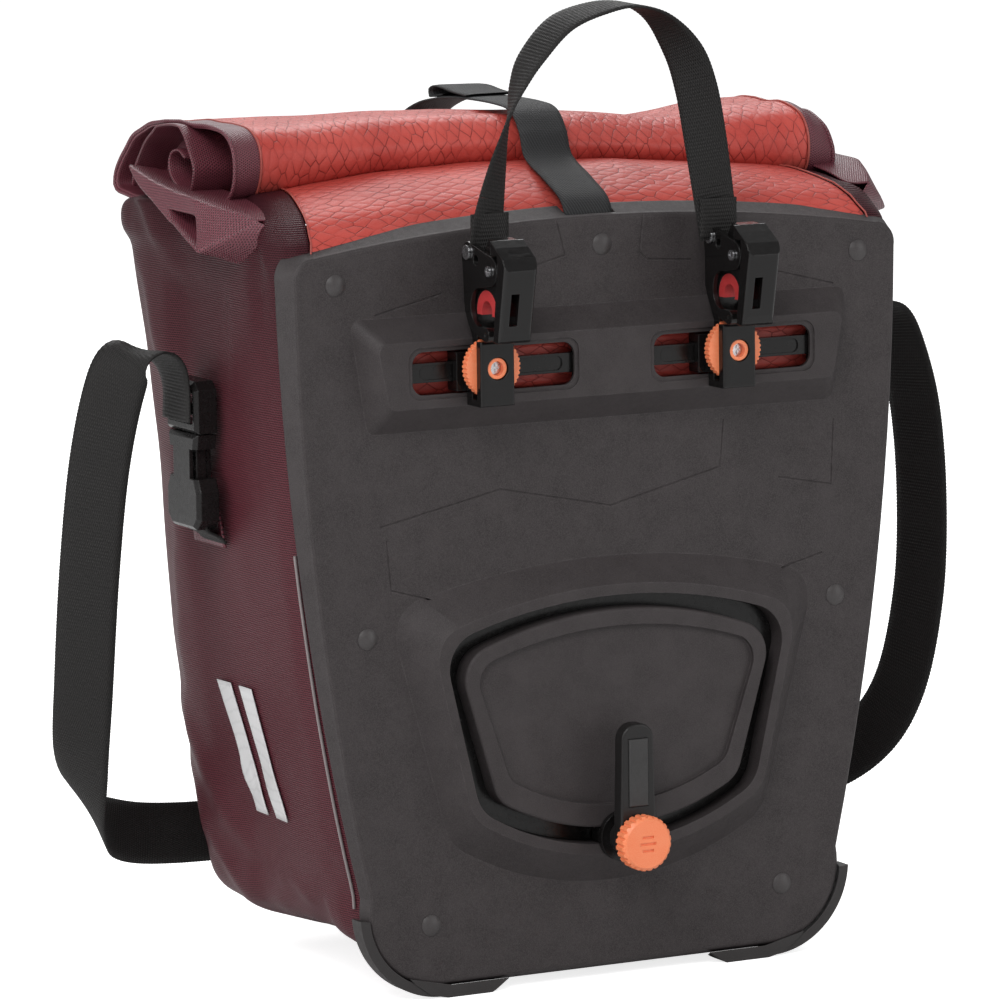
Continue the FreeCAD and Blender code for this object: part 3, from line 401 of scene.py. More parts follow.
def red_skin(name):
    """Coated red fabric: a net of fine darker lines over a glossy skin with a fine horizontal grain, its
    paler streaks partly painted highlight.
    """
    look = Look(name, "UV")
    net = look.cells(172.0, (0.74, 1.26, 1.0), 0.48, warp=0.0018, turn=math.pi / 4)
    line = look.span(net, 0.012, 0.055, 1.0, 0.0)
    broken = look.span(look.grain(85.0, 2.0), 0.36, 0.56, 0.10, 1.0)
    line = look.calc("MULTIPLY", line, broken)
    scales = look.span(net, 0.0, 0.30)
    fine = look.grain(2200.0, 2.0, (0.35, 1.0, 1.0))
    cloud = look.grain(26.0, 3.0)
    band = look.grain(14.0, 2.0, (0.25, 2.2, 1.0))
    tone = look.mix(look.span(cloud, 0.3, 0.7), (0.47, 0.056, 0.044), (0.60, 0.098, 0.078))
    tone = look.mix(look.span(band, 0.42, 0.68, 0.0, 0.45), tone, (0.34, 0.036, 0.030))
    tone = look.mix(look.span(scales, 0.0, 1.0, 0.16, 0.0), tone, (0.28, 0.026, 0.022))
    # partly painted highlight: the fine grain's streaks are mixed towards a paler red, as fine glints
    tone = look.mix(look.span(fine, 0.40, 0.78, 0.0, 0.12), tone, (0.78, 0.20, 0.16))
    tone = look.mix(look.calc("MULTIPLY", line, 0.85), tone, (0.16, 0.014, 0.012))
    look.bump(scales, 0.00045, 0.35)
    look.bump(look.calc("SUBTRACT", 1.0, line), 0.00022, 0.5)
    look.bump(fine, 0.00006, 0.5)
    spark = look.span(look.grain(700.0, 1.0), 0.55, 0.75, 0.44, 0.24)
    return look.done(tone, spark, shine=0.26, Coat_Weight=0.05, Coat_Roughness=0.25)


def web_look(name, colour, light):
    """Black polyester webbing: yarn rows across, painted paler where they crest as a painted highlight."""
    look = Look(name, "UV")
    u, v = look.axis(0), look.axis(1)
    cross = look.calc("MULTIPLY", look.waves(u, 0.0011), look.waves(v, 0.0034))
    fibre = look.grain(2600.0, 2.0, (1.0, 0.25, 1.0))
    crest = look.calc("ADD", look.calc("MULTIPLY", cross, 0.6), look.calc("MULTIPLY", fibre, 0.9))
    # painted highlight: the yarn crests are mixed towards the paler tone
    tone = look.mix(look.span(crest, 0.2, 1.1), colour, light)
    look.bump(crest, 0.00016, 0.7)
    return look.done(tone, look.span(fibre, 0.3, 0.7, 0.75, 0.5), shine=0.30)


def closure_look(name):
    """The closure strap's flat diagonal weave."""
    look = Look(name, "UV")
    u, v = look.axis(0), look.axis(1)
    twill = look.calc("MULTIPLY", look.waves(look.calc("ADD", u, v), 0.0015), look.waves(v, 0.0011))
    fibre = look.grain(2400.0, 2.0)
    crest = look.calc("ADD", look.calc("MULTIPLY", twill, 0.7), look.calc("MULTIPLY", fibre, 0.6))
    # painted highlight: the twill's crests are mixed towards the paler grey
    tone = look.mix(look.span(crest, -0.1, 1.0), (0.008, 0.008, 0.0085), (0.048, 0.0485, 0.051))
    look.bump(crest, 0.0002, 0.8)
    return look.done(tone, 0.62, shine=0.35)


def film_look(name, colour):
    """Reflective film: pale silver with a fine cell print and a slightly uneven sheen."""
    look = Look(name)
    cell = look.cells(900.0, None, 0.2)
    cloud = look.grain(60.0, 3.0)
    tone = look.mix(look.span(cell, 0.0, 0.2), tuple(c * 0.86 for c in colour), colour)
    tone = look.mix(look.span(cloud, 0.35, 0.7, 0.0, 0.25), tone, tuple(c * 0.92 for c in colour))
    look.bump(cell, 0.00003, 0.4)
    return look.done(tone, look.span(cloud, 0.3, 0.7, 0.34, 0.46), 0.15)


# dark tone, light tone, roughness, grain size, grain depth, edge radius, how worn the edges are
PANEL = moulded("panel_plastic", (0.0190, 0.0155, 0.0160), (0.0550, 0.0470, 0.0480), 0.58,
                0.00042, 0.00010, 0.0008, shine=0.32)
GUARD = moulded("guard_plastic", (0.024, 0.0215, 0.0215), (0.040, 0.0365, 0.0365), 0.50,
                0.00035, 0.00006, 0.0006, shine=0.35)
RIVET = moulded("rivet_plastic", (0.036, 0.031, 0.032), (0.056, 0.050, 0.050), 0.42,
                0.00045, 0.00005, 0.0004)
GLOSS = moulded("hook_gloss", (0.0040, 0.0035, 0.0035), (0.0070, 0.0063, 0.0063), 0.20,
                0.0006, 0.000012, 0.0008, 0.25, shine=0.30, Coat_Weight=0.10, Coat_Roughness=0.06)
RAIL = moulded("rail_gloss", (0.0045, 0.0040, 0.0040), (0.0080, 0.0072, 0.0072), 0.22,
               0.0008, 0.00001, 0.0004, 0.2, shine=0.35)
ARM = moulded("arm_plastic", (0.0085, 0.0077, 0.0077), (0.015, 0.0138, 0.0138), 0.36,
              0.0005, 0.00003, 0.0006, 0.4, shine=0.35)
PAD = moulded("pad_rubber", (0.026, 0.025, 0.025), (0.038, 0.0365, 0.0365), 0.60,
              0.0004, 0.00004, 0.0005, 0.2)
BUCKLE = moulded("buckle_plastic", (0.0055, 0.0047, 0.0047), (0.0100, 0.0088, 0.0088), 0.26,
                 0.0005, 0.000012, 0.0007, 0.35, shine=0.30)
ORANGE = moulded("orange_plastic", (0.93, 0.185, 0.055), (0.98, 0.310, 0.150), 0.40,
                 0.0005, 0.00004, 0.0004, 0.15)
LINER = moulded("red_liner", (0.36, 0.020, 0.024), (0.46, 0.040, 0.040), 0.42,
                0.0006, 0.00004, 0.0003, 0.1)
STIFF = moulded("stiffener_plastic", (0.30, 0.30, 0.31), (0.42, 0.42, 0.43), 0.45,
                0.0008, 0.00003, 0.0004, 0.1)
STEEL = metal("zinc_steel", (0.74, 0.74, 0.76), 0.22)
# the side fabric's last value, 0.5, is how much painted shadow darkens it towards the top
SIDE = burgundy_weave("side_fabric", 0.62, (0.146, 0.034, 0.046), (0.0080, 0.0012, 0.0024), 0.12, 0.5)
# the gusset's pale tone is brighter than the side's, partly painted highlight for the lit facets of its fold
GUSSET = burgundy_weave("gusset_fabric", 0.30, (0.225, 0.052, 0.074), (0.010, 0.0014, 0.0030), 0.50)
RED = red_skin("red_fabric")
WEB = web_look("webbing_rib", (0.0040, 0.0036, 0.0035), (0.026, 0.0238, 0.0230))
CLOSURE = closure_look("webbing_twill")
FILM = film_look("reflective_film", (0.66, 0.655, 0.66))
PIPING = film_look("piping_grey", (0.24, 0.21, 0.21))
SEAM = moulded("seam_thread", (0.28, 0.040, 0.034), (0.40, 0.085, 0.065), 0.5,
               0.0004, 0.00004, 0.0001, 0.1)

NODE_LOOKS = {
    "back_panel": PANEL, "centre_shield": PANEL, "corner_guard": GUARD, "panel_rivets": RIVET,
    "track_plate": RAIL, "track_shoe": RAIL, "hook_rail": RAIL, "hook_slider": GLOSS,
    "hook_body": GLOSS, "hook_lever": GLOSS, "tube_insert": LINER, "thumbwheel": ORANGE,
    "pivot_screw": STEEL, "clamp_screw": STEEL, "handle_pin": STEEL, "knob_screw": STEEL,
    "rivet_washers": STEEL, "strut_arm": ARM, "arm_pad": PAD, "clamp_knob": ORANGE,
    "closure_socket": BUCKLE, "closure_plug": BUCKLE, "side_socket": BUCKLE, "side_plug": BUCKLE,
    "roll_stiffener": STIFF,
}


def finish_nodes():
    """Gives every hard CAD node its look, by how its name starts."""
    for name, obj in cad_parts.items():
        for start, look in NODE_LOOKS.items():
            if name.startswith(start):
                obj.data.materials.clear()
                obj.data.materials.append(look)


def dress(obj, look, body="root", stands_for=()):
    """A new piece's look, slot and body, and the CAD nodes it stands for. A piece given no body stays
    unattached.
    """
    obj.data.materials.append(look)
    if body:
        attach(obj, body)
    if stands_for:
        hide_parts(*stands_for)


# ---- the bag's body ----
def panel_half(z):
    """Half the width of the back panel at a height: its sides are long arcs."""
    return 159.0 - (1360.0 - np.sqrt(1360.0 ** 2 - (352.0 - z) ** 2))


def body_loop(y_front, y_back, half):
    """Columns round the bag at one level: front, +x side, back, -x side."""
    k = (y_back - y_front) / 165.0
    c = min(1.0, half / 60.0)
    seam = half - SEAM_IN * c
    edge = half - BACK_CORNER * c
    side = curve([
        (seam, y_front), (half - 5 * c, y_front + 0.4 * k), (half + 1.5 * c, y_front + 8 * k),
        (half + 3.6 * c, y_front + 30 * k), (half + 4.0 * c, y_front + 75 * k),
        (half + 5.0 * c, y_front + 102 * k), (half + 7.0 * c, y_back - 46 * k),
        (half + 7.4 * c, y_back - 25 * k), (half + 3.4 * c, y_back - 8.5 * k),
        (half - 6.5 * c, y_back - 1.2 * k), (edge, y_back)], SIDE_COLS + 1)
    front_x = np.linspace(-seam, seam, FRONT_COLS + 1)
    front = np.stack([front_x, np.full(FRONT_COLS + 1, y_front)], axis=1)
    back_x = np.linspace(edge, -edge, FRONT_COLS + 1)
    back = np.stack([back_x, y_back + 3.0 * c * np.cos(back_x / max(edge, 1.0) * math.pi / 2)], axis=1)
    other = side[::-1] * (-1, 1)
    return np.vstack([front[:-1], side[:-1], back[:-1], other[:-1]])


def body_grid():
    """The bag's outline at each level, from the bottom up the walls and over the dome under the roll."""
    # z, y of the front, y of the back, half the width
    levels = [
        (3.4, 45, 118, 8), (5.5, 35, 128, 30), (9, 25, 139, 54), (13.5, 15, 151, 82), (19, 9, 162, 104),
        (24.5, 6.8, 172, 116.5), (30, 5.8, 178, 121.5), (40, FRONT_Y, 184, 124.5)]
    for z, y_back in ((50, 186), (70, 187), (100, 184), (142, 180), (190, 175), (225, 172), (262, 173),
                      (295, 176), (322, 181), (NECK_Z, 184.5)):
        levels.append((z, FRONT_Y, y_back, float(panel_half(z))))
    rows = []
    for z, y_front, y_back, half in curve(levels, BODY_ROWS):
        loop = body_loop(y_front, y_back, half)
        rows.append(np.column_stack([loop, np.full(len(loop), z)]))
    front = curve([(FRONT_Y, NECK_Z), (6.6, 356), (13, 362.6), (21, 369.5), (45, 378.5), (66, 380.8),
                   (92, 377)], DOME_ROWS + 1)
    back = curve([(184.5, NECK_Z), (187, 354), (187, 362), (175, 369.5), (146, 373), (106, 375)],
                 DOME_ROWS + 1)
    half = curve([(0, 158.9), (1, 159.5), (2, 158), (3, 153), (4, 146), (5, 140)], DOME_ROWS + 1)[:, 1]
    for k in range(1, DOME_ROWS + 1):
        loop = body_loop(front[k, 0], back[k, 0], half[k])
        share = np.clip((loop[:, 1] - front[k, 0]) / (back[k, 0] - front[k, 0]), 0, 1)
        z = front[k, 1] * (1 - share) + back[k, 1] * share
        outer = ease((np.abs(loop[:, 0]) - half[k] + 45) / 30)
        rear = ease((loop[:, 1] - 85) / 60) * ease((DOME_ROWS - k) / 3.0) * outer
        loop[:, 0] *= 1 + rear * (162.0 / half[k] - 1)
        crest = np.interp(loop[:, 0], *CREASE) - 381.0
        z = z + crest * (k / DOME_ROWS) ** 0.6
        rows.append(np.column_stack([loop, z]))
    return np.stack(rows)


# each crease: its two ends as (y, z), how deep and how wide it is
SIDE_CREASES = (
    ((31, 363), (20, 344), 2.6, 3.4), ((150, 372), (110, 330), 1.6, 6.0), ((166, 120), (120, 60), 2.2, 7.0),
    ((160, 60), (100, 96), 1.6, 6.0), ((170, 90), (140, 36), 1.8, 6.0))


def wrinkled(grid):
    """Soft creases low on the sides, and a little unevenness everywhere away from the panel."""
    y, z = grid[..., 1], grid[..., 2]
    normal = grid_normals(grid, True)
    free = np.clip((y - 16) / 30, 0, 1)
    slant = np.stack([grid[..., 0] * 0.2, (y * 0.75 + z * 0.65), (z * 0.75 - y * 0.65) * 0.45], axis=-1)
    low = np.clip((120 - z) / 60, 0, 1) * np.clip((z - 6) / 20, 0, 1)
    folds = ripples(slant, (60, 17, 60), 3.1)
    broad = ripples(grid, (70, 60, 75), 7.7)
    fine = ripples(grid, (26, 22, 30), 1.3)
    off = free * (2.2 * folds * low + 1.4 * broad + 0.5 * fine)
    for start, end, deep, wide in SIDE_CREASES:
        a, b = np.array(start), np.array(end)
        place = np.stack([y, z], axis=-1) - a
        share = np.clip((place @ (b - a)) / ((b - a) @ (b - a)), 0, 1)
        away = np.linalg.norm(place - share[..., None] * (b - a), axis=-1)
        off = off - deep * np.exp(-(away / wide) ** 2) * (np.abs(grid[..., 0]) > 130)
    return grid - normal * off[..., None]


def inflate(grid):
    """A short cloth simulation on the closed body: the fabric is cut a little large and pushed outwards."""
    rows, cols = grid.shape[:2]
    obj = sheet("body_sim", grid, wrap=True)
    bm = bmesh.new()
    bm.from_mesh(obj.data)
    bmesh.ops.holes_fill(bm, edges=[e for e in bm.edges if e.is_boundary], sides=0)
    bm.to_mesh(obj.data)
    bm.free()
    y, z = grid[..., 1].ravel(), grid[..., 2].ravel()
    pins = obj.vertex_groups.new(name="pins")
    near_panel, under_roll = y < 24, z > 366
    held = np.where(near_panel | under_roll, 1.0, np.clip((40 - y) / 40, 0, 0.3))
    for k, weight in enumerate(held):
        pins.add([k], float(weight), "REPLACE")
    cloth = obj.modifiers.new("cloth", "CLOTH")
    settings = {
        "quality": 6, "mass": 0.25, "tension_stiffness": 25, "compression_stiffness": 12,
        "shear_stiffness": 6, "bending_stiffness": 1.2, "shrink_min": -SIM_EXTRA, "use_pressure": True,
        "uniform_pressure_force": SIM_PRESSURE, "vertex_group_mass": "pins"}
    for key, value in settings.items():
        setattr(cloth.settings, key, value)
    cloth.settings.effector_weights.gravity = 0.0
    cloth.point_cache.frame_start = 1
    cloth.point_cache.frame_end = SIM_FRAMES
    for step in range(1, SIM_FRAMES + 1):
        bpy.context.scene.frame_set(step)
    result = obj.evaluated_get(bpy.context.evaluated_depsgraph_get()).data
    co = np.empty(len(result.vertices) * 3)
    result.vertices.foreach_get("co", co)
    moved = (co.reshape(-1, 3)[:rows * cols] * 1000.0 - ORIGIN_SHIFT).reshape(grid.shape) - grid
    bpy.data.objects.remove(obj)
    bpy.context.scene.frame_set(1)
    far = np.linalg.norm(moved, axis=2)
    outward = -(moved * grid_normals(grid, True)).sum(axis=2)
    beside = np.maximum(np.abs(grid[..., 2] - BUCKLE_Z) - 45, np.abs(grid[..., 1] - BUCKLE_Y) - 30)
    least, most = SIM_CAP
    cap = least + (most - least) * ease(beside / 30) * ease((outward + 0.5) / 1.5)
    cap = np.where(grid[..., 2] < 6, SIM_FLOOR_CAP, cap)
    return grid + moved * (cap * np.tanh(far / cap) / np.maximum(far, 1e-6))[..., None]


def cut_columns(grid, first, count):
    """Neighbouring columns of a grid that closes round the bag."""
    cols = grid.shape[1]
    return grid[:, [(first + k) % cols for k in range(count + 1)]]


def front_wall():
    """The red front wall, which swells into the hollow behind the hook rails."""
    below, over, above = (BOTTOM_Z, 276, 30), (278, 311, 23), (315, NECK_Z, 8)
    heights = np.concatenate([np.linspace(*rows) for rows in (below, over, above)])
    low, high = POCKET_Z
    across = np.linspace(-1, 1, FRONT_COLS * 2 + 1)
    grid = np.zeros((len(heights), len(across), 3))
    for i, z in enumerate(heights):
        x = across * (float(panel_half(z)) - SEAM_IN)
        swell = ease((z - low) / 4.5) * ease((high - z) / 4.5) * ease((POCKET_X - np.abs(x)) / 8)
        grid[i, :, 0] = x
        grid[i, :, 1] = FRONT_Y - POCKET_DEPTH * swell
        grid[i, :, 2] = z
    grid[..., 1] += 0.45 * ripples(grid, (18, 10, 8), 6.1)
    return grid


def clear_buckles(grid):
    """Holds the sides back where the buckles sit and their plugs slide."""
    x, y, z = grid[..., 0], grid[..., 1], grid[..., 2]
    low, high = PLUG_Z
    near = ease((z - low) / 16) * ease((high - z) / 14) * ease((34 - np.abs(y - BUCKLE_Y)) / 14)
    grid[..., 0] = x - np.sign(x) * near * np.clip(np.abs(x) - BUCKLE_BACK, 0, None)


def body_pieces():
    """The walls, the dome and the bottom, cut from one closed grid along the seams."""
    grid = wrinkled(body_grid())
    grid = inflate(grid)
    clear_buckles(grid)
    height = grid[:BODY_ROWS, :, 2].mean(axis=1)
    low, panel_low = (int(np.argmin(np.abs(height - z))) for z in (WRAP_Z, BOTTOM_Z))
    top = BODY_ROWS - 1
    side_r, back, side_l = FRONT_COLS, FRONT_COLS + SIDE_COLS, 2 * FRONT_COLS + SIDE_COLS
    front_cols = cut_columns(grid, 0, FRONT_COLS)
    back_cols = cut_columns(grid, back, FRONT_COLS)
    parts = {
        "cloth_front": (front_wall(), RED, "bag_front"),
        "cloth_back": (back_cols[low:top + 1], SIDE, "bag_back"),
        "cloth_bottom_front": (front_cols[low:panel_low + 3], SIDE, "bag_bottom"),
        "cloth_neck_front": (front_cols[top:], RED, "bag_neck"),
        "cloth_neck_back": (back_cols[top:], RED, "bag_neck"),
        "cloth_side_right": (cut_columns(grid, side_r, SIDE_COLS)[low:], SIDE, "bag_side_right"),
        "cloth_side_left": (cut_columns(grid, side_l, SIDE_COLS)[low:], SIDE, "bag_side_left"),
    }
    for name, (part, look, node) in parts.items():
        dress(sheet(name, part, thick=CLOTH_T, level=1), look, "root", (node,))
    inner = grid + grid_normals(grid, True) * 0.7
    rings = [inner[low + 2], inner[low + 1]] + [grid[low - k] for k in range(low + 1)]
    centre = np.array(BOTTOM_CENTRE)
    for share in (0.75, 0.5, 0.25, 0.04):
        rings.append(centre + (grid[0] - centre) * share)
    dress(sheet("cloth_bottom", np.stack(rings)[:, ::-1], wrap=True, level=1), SIDE, "root",
          ("bag_bottom",))
    for name, at in (("left", 0), ("right", FRONT_COLS)):
        line = grid[top - 4:, at] + (0, -0.4, 0.4)
        dress(tube("neck_seam_" + name, line, 0.45), SEAM)
    return grid


# ---- the rolled top ----
def roll_section(x):
    """The roll's outline across the bag at one place along it, as (y, z)."""
    top = np.interp(x, *ROLL_TOP)
    low = np.interp(x, *CREASE)
    y = np.interp(x, *ROLL_FRONT)
    points = [
        (y + 5, low - 0.5), (y - 1, (low + top) / 2 - 3), (y + 3, top - 8), (y + 16, top - 1.5), (100, top),
        (135, top - 1.5), (159, top - 8), (177, top - 20), (186, top - 32), (184, top - 38), (165, 366),
        (120, 368), (84, low - 4)]
    return curve(points, 96, True)


def roll_grid(x0, x1, count):
    """The outline of the roll from x0 to x1, with soft folds along it."""
    rows = []
    for x in np.linspace(x0, x1, count):
        section = roll_section(x)
        slant = np.clip((abs(x) - 145) / 16, 0, 1) * 0.02 * (section[:, 0] - 55)
        rows.append(np.column_stack([x + np.sign(x) * slant, section]))
    grid = np.stack(rows)
    normal = grid_normals(grid, True)
    long_folds = ripples(grid, (120, 16, 13), 5.2)
    soft = ripples(grid, (38, 30, 26), 9.4)
    off = (1.5 * long_folds + 1.2 * soft) * np.sign(x1 - x0)
    return grid - normal * off[..., None]


def roll_pieces():
    """The red roll, and at each end its burgundy edge, seam, hem and folds."""
    grid = roll_grid(-ROLL_SEAM, ROLL_SEAM, 80)
    obj = sheet("cloth_roll", grid[:, ::-1], wrap=True, thick=ROLL_T, level=1)
    dress(obj, RED, "root", ("roll_top",))
    for name, sign in SIDES:
        end = roll_grid(sign * (ROLL_SEAM - 0.4), sign * ROLL_OUT, 9)
        if sign > 0:
            end = end[:, ::-1]
        obj = sheet("cloth_roll_end_" + name, end, wrap=True, thick=ROLL_END_T, level=1)
        dress(obj, GUSSET, "root", ("roll_end_" + name,))
        hem = end[-1]
        dress(tube("roll_hem_" + name, np.vstack([hem, hem[:1]]), 1.0), GUSSET)
        seam = roll_grid(sign * ROLL_SEAM, sign * (ROLL_SEAM + 0.6), 3)[0]
        dress(tube("roll_seam_" + name, np.vstack([seam, seam[:1]]), 0.6), SEAM)
        spiral(name, sign)
        tucked_end(name, sign)
        fold(name, sign)


def spiral(name, sign):
    """The inner turn of the roll, which stands out past the outer layer and narrows inwards."""
    inner_x, low, high = 126, 368, 404.8
    centre_y, centre_z = 118, 388
    # its outer edge as (y, z, x)
    path = curve([
        (176, 370, 160), (168, 380, 162), (152, 393, 164), (134, 402, 166.5), (131.5, 402.9, 167),
        (118, 404.6, 167.5), (104.5, high, 168), (103, 404.3, 168), (97, 400, 168.5), (92, 393, 168.5),
        (88, 386, 168.5), (89.5, 379, 168.5), (92.4, 374.4, 168.5), (93.4, 374.0, 168.5), (103, 375.5, 167.5),
        (112, 378.5, 167), (118, 384, 166.5), (117, 390.5, 166), (110, 392.5, 165.5), (104.5, 389, 165)], 130)
    rows = []
    for t in np.linspace(0, 1, 18):
        x = inner_x + (path[:, 2] - inner_x) * t
        shrink = 1 - 0.16 * (1 - t)
        room = (np.interp(sign * x, *ROLL_TOP) - 2.6 - low) / (high - low)
        y = centre_y + (path[:, 0] - centre_y) * shrink
        z = centre_z + (path[:, 1] - centre_z) * shrink
        rows.append(np.column_stack([sign * x, y, low + (z - low) * room]))
    grid = np.stack(rows)
    normal = grid_normals(grid, False)
    grid = grid + normal * (0.7 * ripples(grid, (24, 14, 14), 4.4))[..., None]
    if sign > 0:
        grid = grid[:, ::-1]
    dress(sheet("roll_spiral_" + name, grid, thick=1.3, level=1), GUSSET)


def tucked_end(name, sign):
    """Fabric tucked into the end of the roll, which closes it off inside."""
    start = roll_grid(sign * TUCK_X, sign * (TUCK_X + 1.0), 3)
    rim = (start + sign * TUCK_IN * grid_normals(start, True))[0][:, 1:]
    centre = rim.mean(axis=0)
    rings = []
    for share in (1.0, 0.9, 0.75, 0.55, 0.35, 0.18, 0.04):
        loop = centre + (rim - centre) * share
        depth = TUCK_X + 1.5 * (1 - share)
        rings.append(np.column_stack([np.full(len(loop), sign * depth), loop]))
    grid = np.stack(rings)
    grid[1:, :, 0] += 1.4 * ripples(grid[1:], (40, 14, 12), 8.2)
    if sign < 0:
        grid = grid[:, ::-1]
    obj = sheet("roll_tuck_" + name, grid, wrap=True, level=1)
    flat_weave(obj, 1, 2)
    dress(obj, GUSSET)


def fold(name, sign):
    """The gusset's beak-like fold under the end of the roll: a coarse cage, creased and subdivided."""
    cage = [
        # the upper ridge, from the beak's tip to the neck
        (171, 154, 382.5), (174, 121, 377.5), (176, 91, 375), (177.5, 65.6, 373.6), (170, 45, 370),
        (162.5, 31, 365.6),
        # the rim of the open pocket
        (176, 133, 375), (178, 112, 369.4), (179, 92, 367.2), (178, 64, 366.4), (180, 57, 354.5),
        # the lower ridge
        (181, 85, 361.5), (183, 64.5, 354.5), (184, 51.5, 350.4), (177, 42, 355.6), (169, 35, 359.8),
        # the bottom of the pocket
        (142, 86, 367), (144, 68, 359.5),
        # where the fold runs back under, into the side
        (159, 150, 370), (158, 120, 361), (157, 88, 350), (156, 62, 341), (155, 44, 341), (154, 30, 351),
        (152, 22, 359),
        # and over, into the roll
        (150, 150, 379), (150, 120, 375.5), (150, 90, 374), (150, 66, 372.5), (150, 45, 370), (150, 30, 365)]
    faces = [
        (0, 1, 6), (1, 2, 7, 6), (2, 8, 7), (2, 3, 9, 8), (3, 4, 14, 9), (9, 14, 13, 10), (4, 5, 15, 14),
        (8, 9, 16), (9, 10, 17, 16), (10, 13, 17), (8, 16, 11), (11, 16, 17, 12), (12, 17, 13), (7, 8, 11),
        (0, 6, 18), (6, 7, 19, 18), (7, 11, 20, 19), (11, 12, 21, 20), (12, 13, 22, 21), (13, 14, 23, 22),
        (14, 15, 24, 23), (15, 5, 24), (0, 25, 26, 1), (1, 26, 27, 2), (2, 27, 28, 3), (3, 28, 29, 4),
        (4, 29, 30, 5)]
    sharp = {
        (0, 1): 0.8, (1, 2): 0.8, (2, 3): 0.8, (3, 4): 0.45, (4, 5): 0.6, (3, 9): 0.9, (9, 10): 0.9,
        (10, 13): 0.9, (8, 9): 0.9, (2, 8): 0.2, (0, 6): 0.7, (6, 7): 0.8, (7, 11): 0.9, (11, 12): 0.9,
        (12, 13): 0.9, (13, 14): 0.7, (14, 15): 0.7, (15, 5): 0.8, (7, 8): 0.8, (8, 11): 0.8}
    mesh = bpy.data.meshes.new("gusset_fold_" + name)
    points = [(sign * x, y, z) for x, y, z in cage]
    mesh.from_pydata(row(points).tolist(), [], faces)
    bm = bmesh.new()
    bm.from_mesh(mesh)
    crease = bm.edges.layers.float.new("crease_edge")
    bm.verts.ensure_lookup_table()
    for (a, b), amount in sharp.items():
        edge = bm.edges.get((bm.verts[a], bm.verts[b]))
        if edge:
            edge[crease] = amount
    bmesh.ops.recalc_face_normals(bm, faces=bm.faces)
    uv = bm.loops.layers.uv.new("weave")
    for face in bm.faces:
        facing = [abs(n) for n in face.normal]
        a, b = [(1, 2), (0, 2), (0, 1)][facing.index(max(facing))]
        for loop in face.loops:
            loop[uv].uv = (loop.vert.co[a], loop.vert.co[b])
    bm.to_mesh(mesh)
    bm.free()
    smooth(mesh)
    obj = link_object("gusset_fold_" + name, mesh)
    subdivide(obj, 4)
    thicken(obj, 0.9, 0.0)
    dress(obj, GUSSET)


# ---- webbing ----
def bend(obj, look, bodies, start, end, stands_for=()):
    """Finishes webbing that follows one body up to start and another from end on."""
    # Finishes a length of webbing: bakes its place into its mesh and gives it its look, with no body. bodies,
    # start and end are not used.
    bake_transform(obj)
    dress(obj, look, None, stands_for)


def handle():
    """The carry handle: its arch, and on each side a leg, a foot and a folded end by the levers."""
    # x, z and how far the webbing is turned, in degrees
    stations = [
        (-67.5, 348, -10), (-67.5, 360, -18), (-62.5, 385, -38), (-56, 409, -62), (-50.5, 425, -85),
        (-43, 438, -100), (-28, 452.5, -104), (-8, 459, -100), (8, 459.5, -92), (23, 453, -78),
        (36, 437, -52), (42.5, 420, -36), (46.5, 400, -24), (50, 378, -12), (52.5, 361, -4), (54, 349, 0)]
    path = np.array([(x, HANDLE_Y, z) for x, z, _ in stations])
    tangent = unit(np.gradient(path, axis=0))
    across = []
    for t, (_, _, turn) in zip(tangent, stations):
        out = np.array([-t[2], 0, t[0]])
        a = math.radians(turn)
        across.append(out * math.cos(a) + np.array([0, 1.0, 0]) * math.sin(a))
    band = curve(np.hstack([path, np.array(across) * 12.0]), 400)
    top = int(np.argmax(band[:, 2]))
    left = [int(np.searchsorted(band[:top, 2], z)) for z in (FOOT_TOP, LEG_TOP)]
    right = [top + int(np.searchsorted(-band[top:, 2], -z)) for z in (LEG_TOP, FOOT_TOP)]

    def length(name, first, last):
        part = band[first:last + 1]
        return webbing(name, part[:, :3], unit(part[:, 3:]), HANDLE_W, WEB_T)

    pin, foot_top, leg_top, arch = ((0, HANDLE_Y, z) for z in (PIN_TOP, FOOT_TOP, LEG_TOP, ARCH_FREE))
    obj = length("handle_webbing", left[1], right[0])
    bend(obj, WEB, ("root", "handle"), leg_top, arch, ("carry_handle",))
    sides = (
        ("left", (0, left[0]), left, (-67.3, 361.5)),
        ("right", (right[1], len(band)), right, (52.6, 362)))
    for name, foot, leg, (x, z) in sides:
        bend(length("handle_leg_" + name, *leg), WEB, ("hook_" + name, "root"), foot_top, leg_top)
        path = [(x, -17.2, z + 6), (x, -17.0, z), (x, -16.8, z - 12)]
        fold = webbing("handle_fold_" + name, path, [(1, 0, 0)] * 3, 19.4, 1.2)
        for obj in (length("handle_foot_" + name, *foot), fold):
            bend(obj, WEB, ("lever_" + name, "hook_" + name), pin, foot_top)


def closure_band(name, path, across, thick):
    """A length of the closure strap's flat webbing."""
    return webbing(name, path, [across] * len(path), CLOSURE_W, thick, depth=0.12, pitch=1.4)


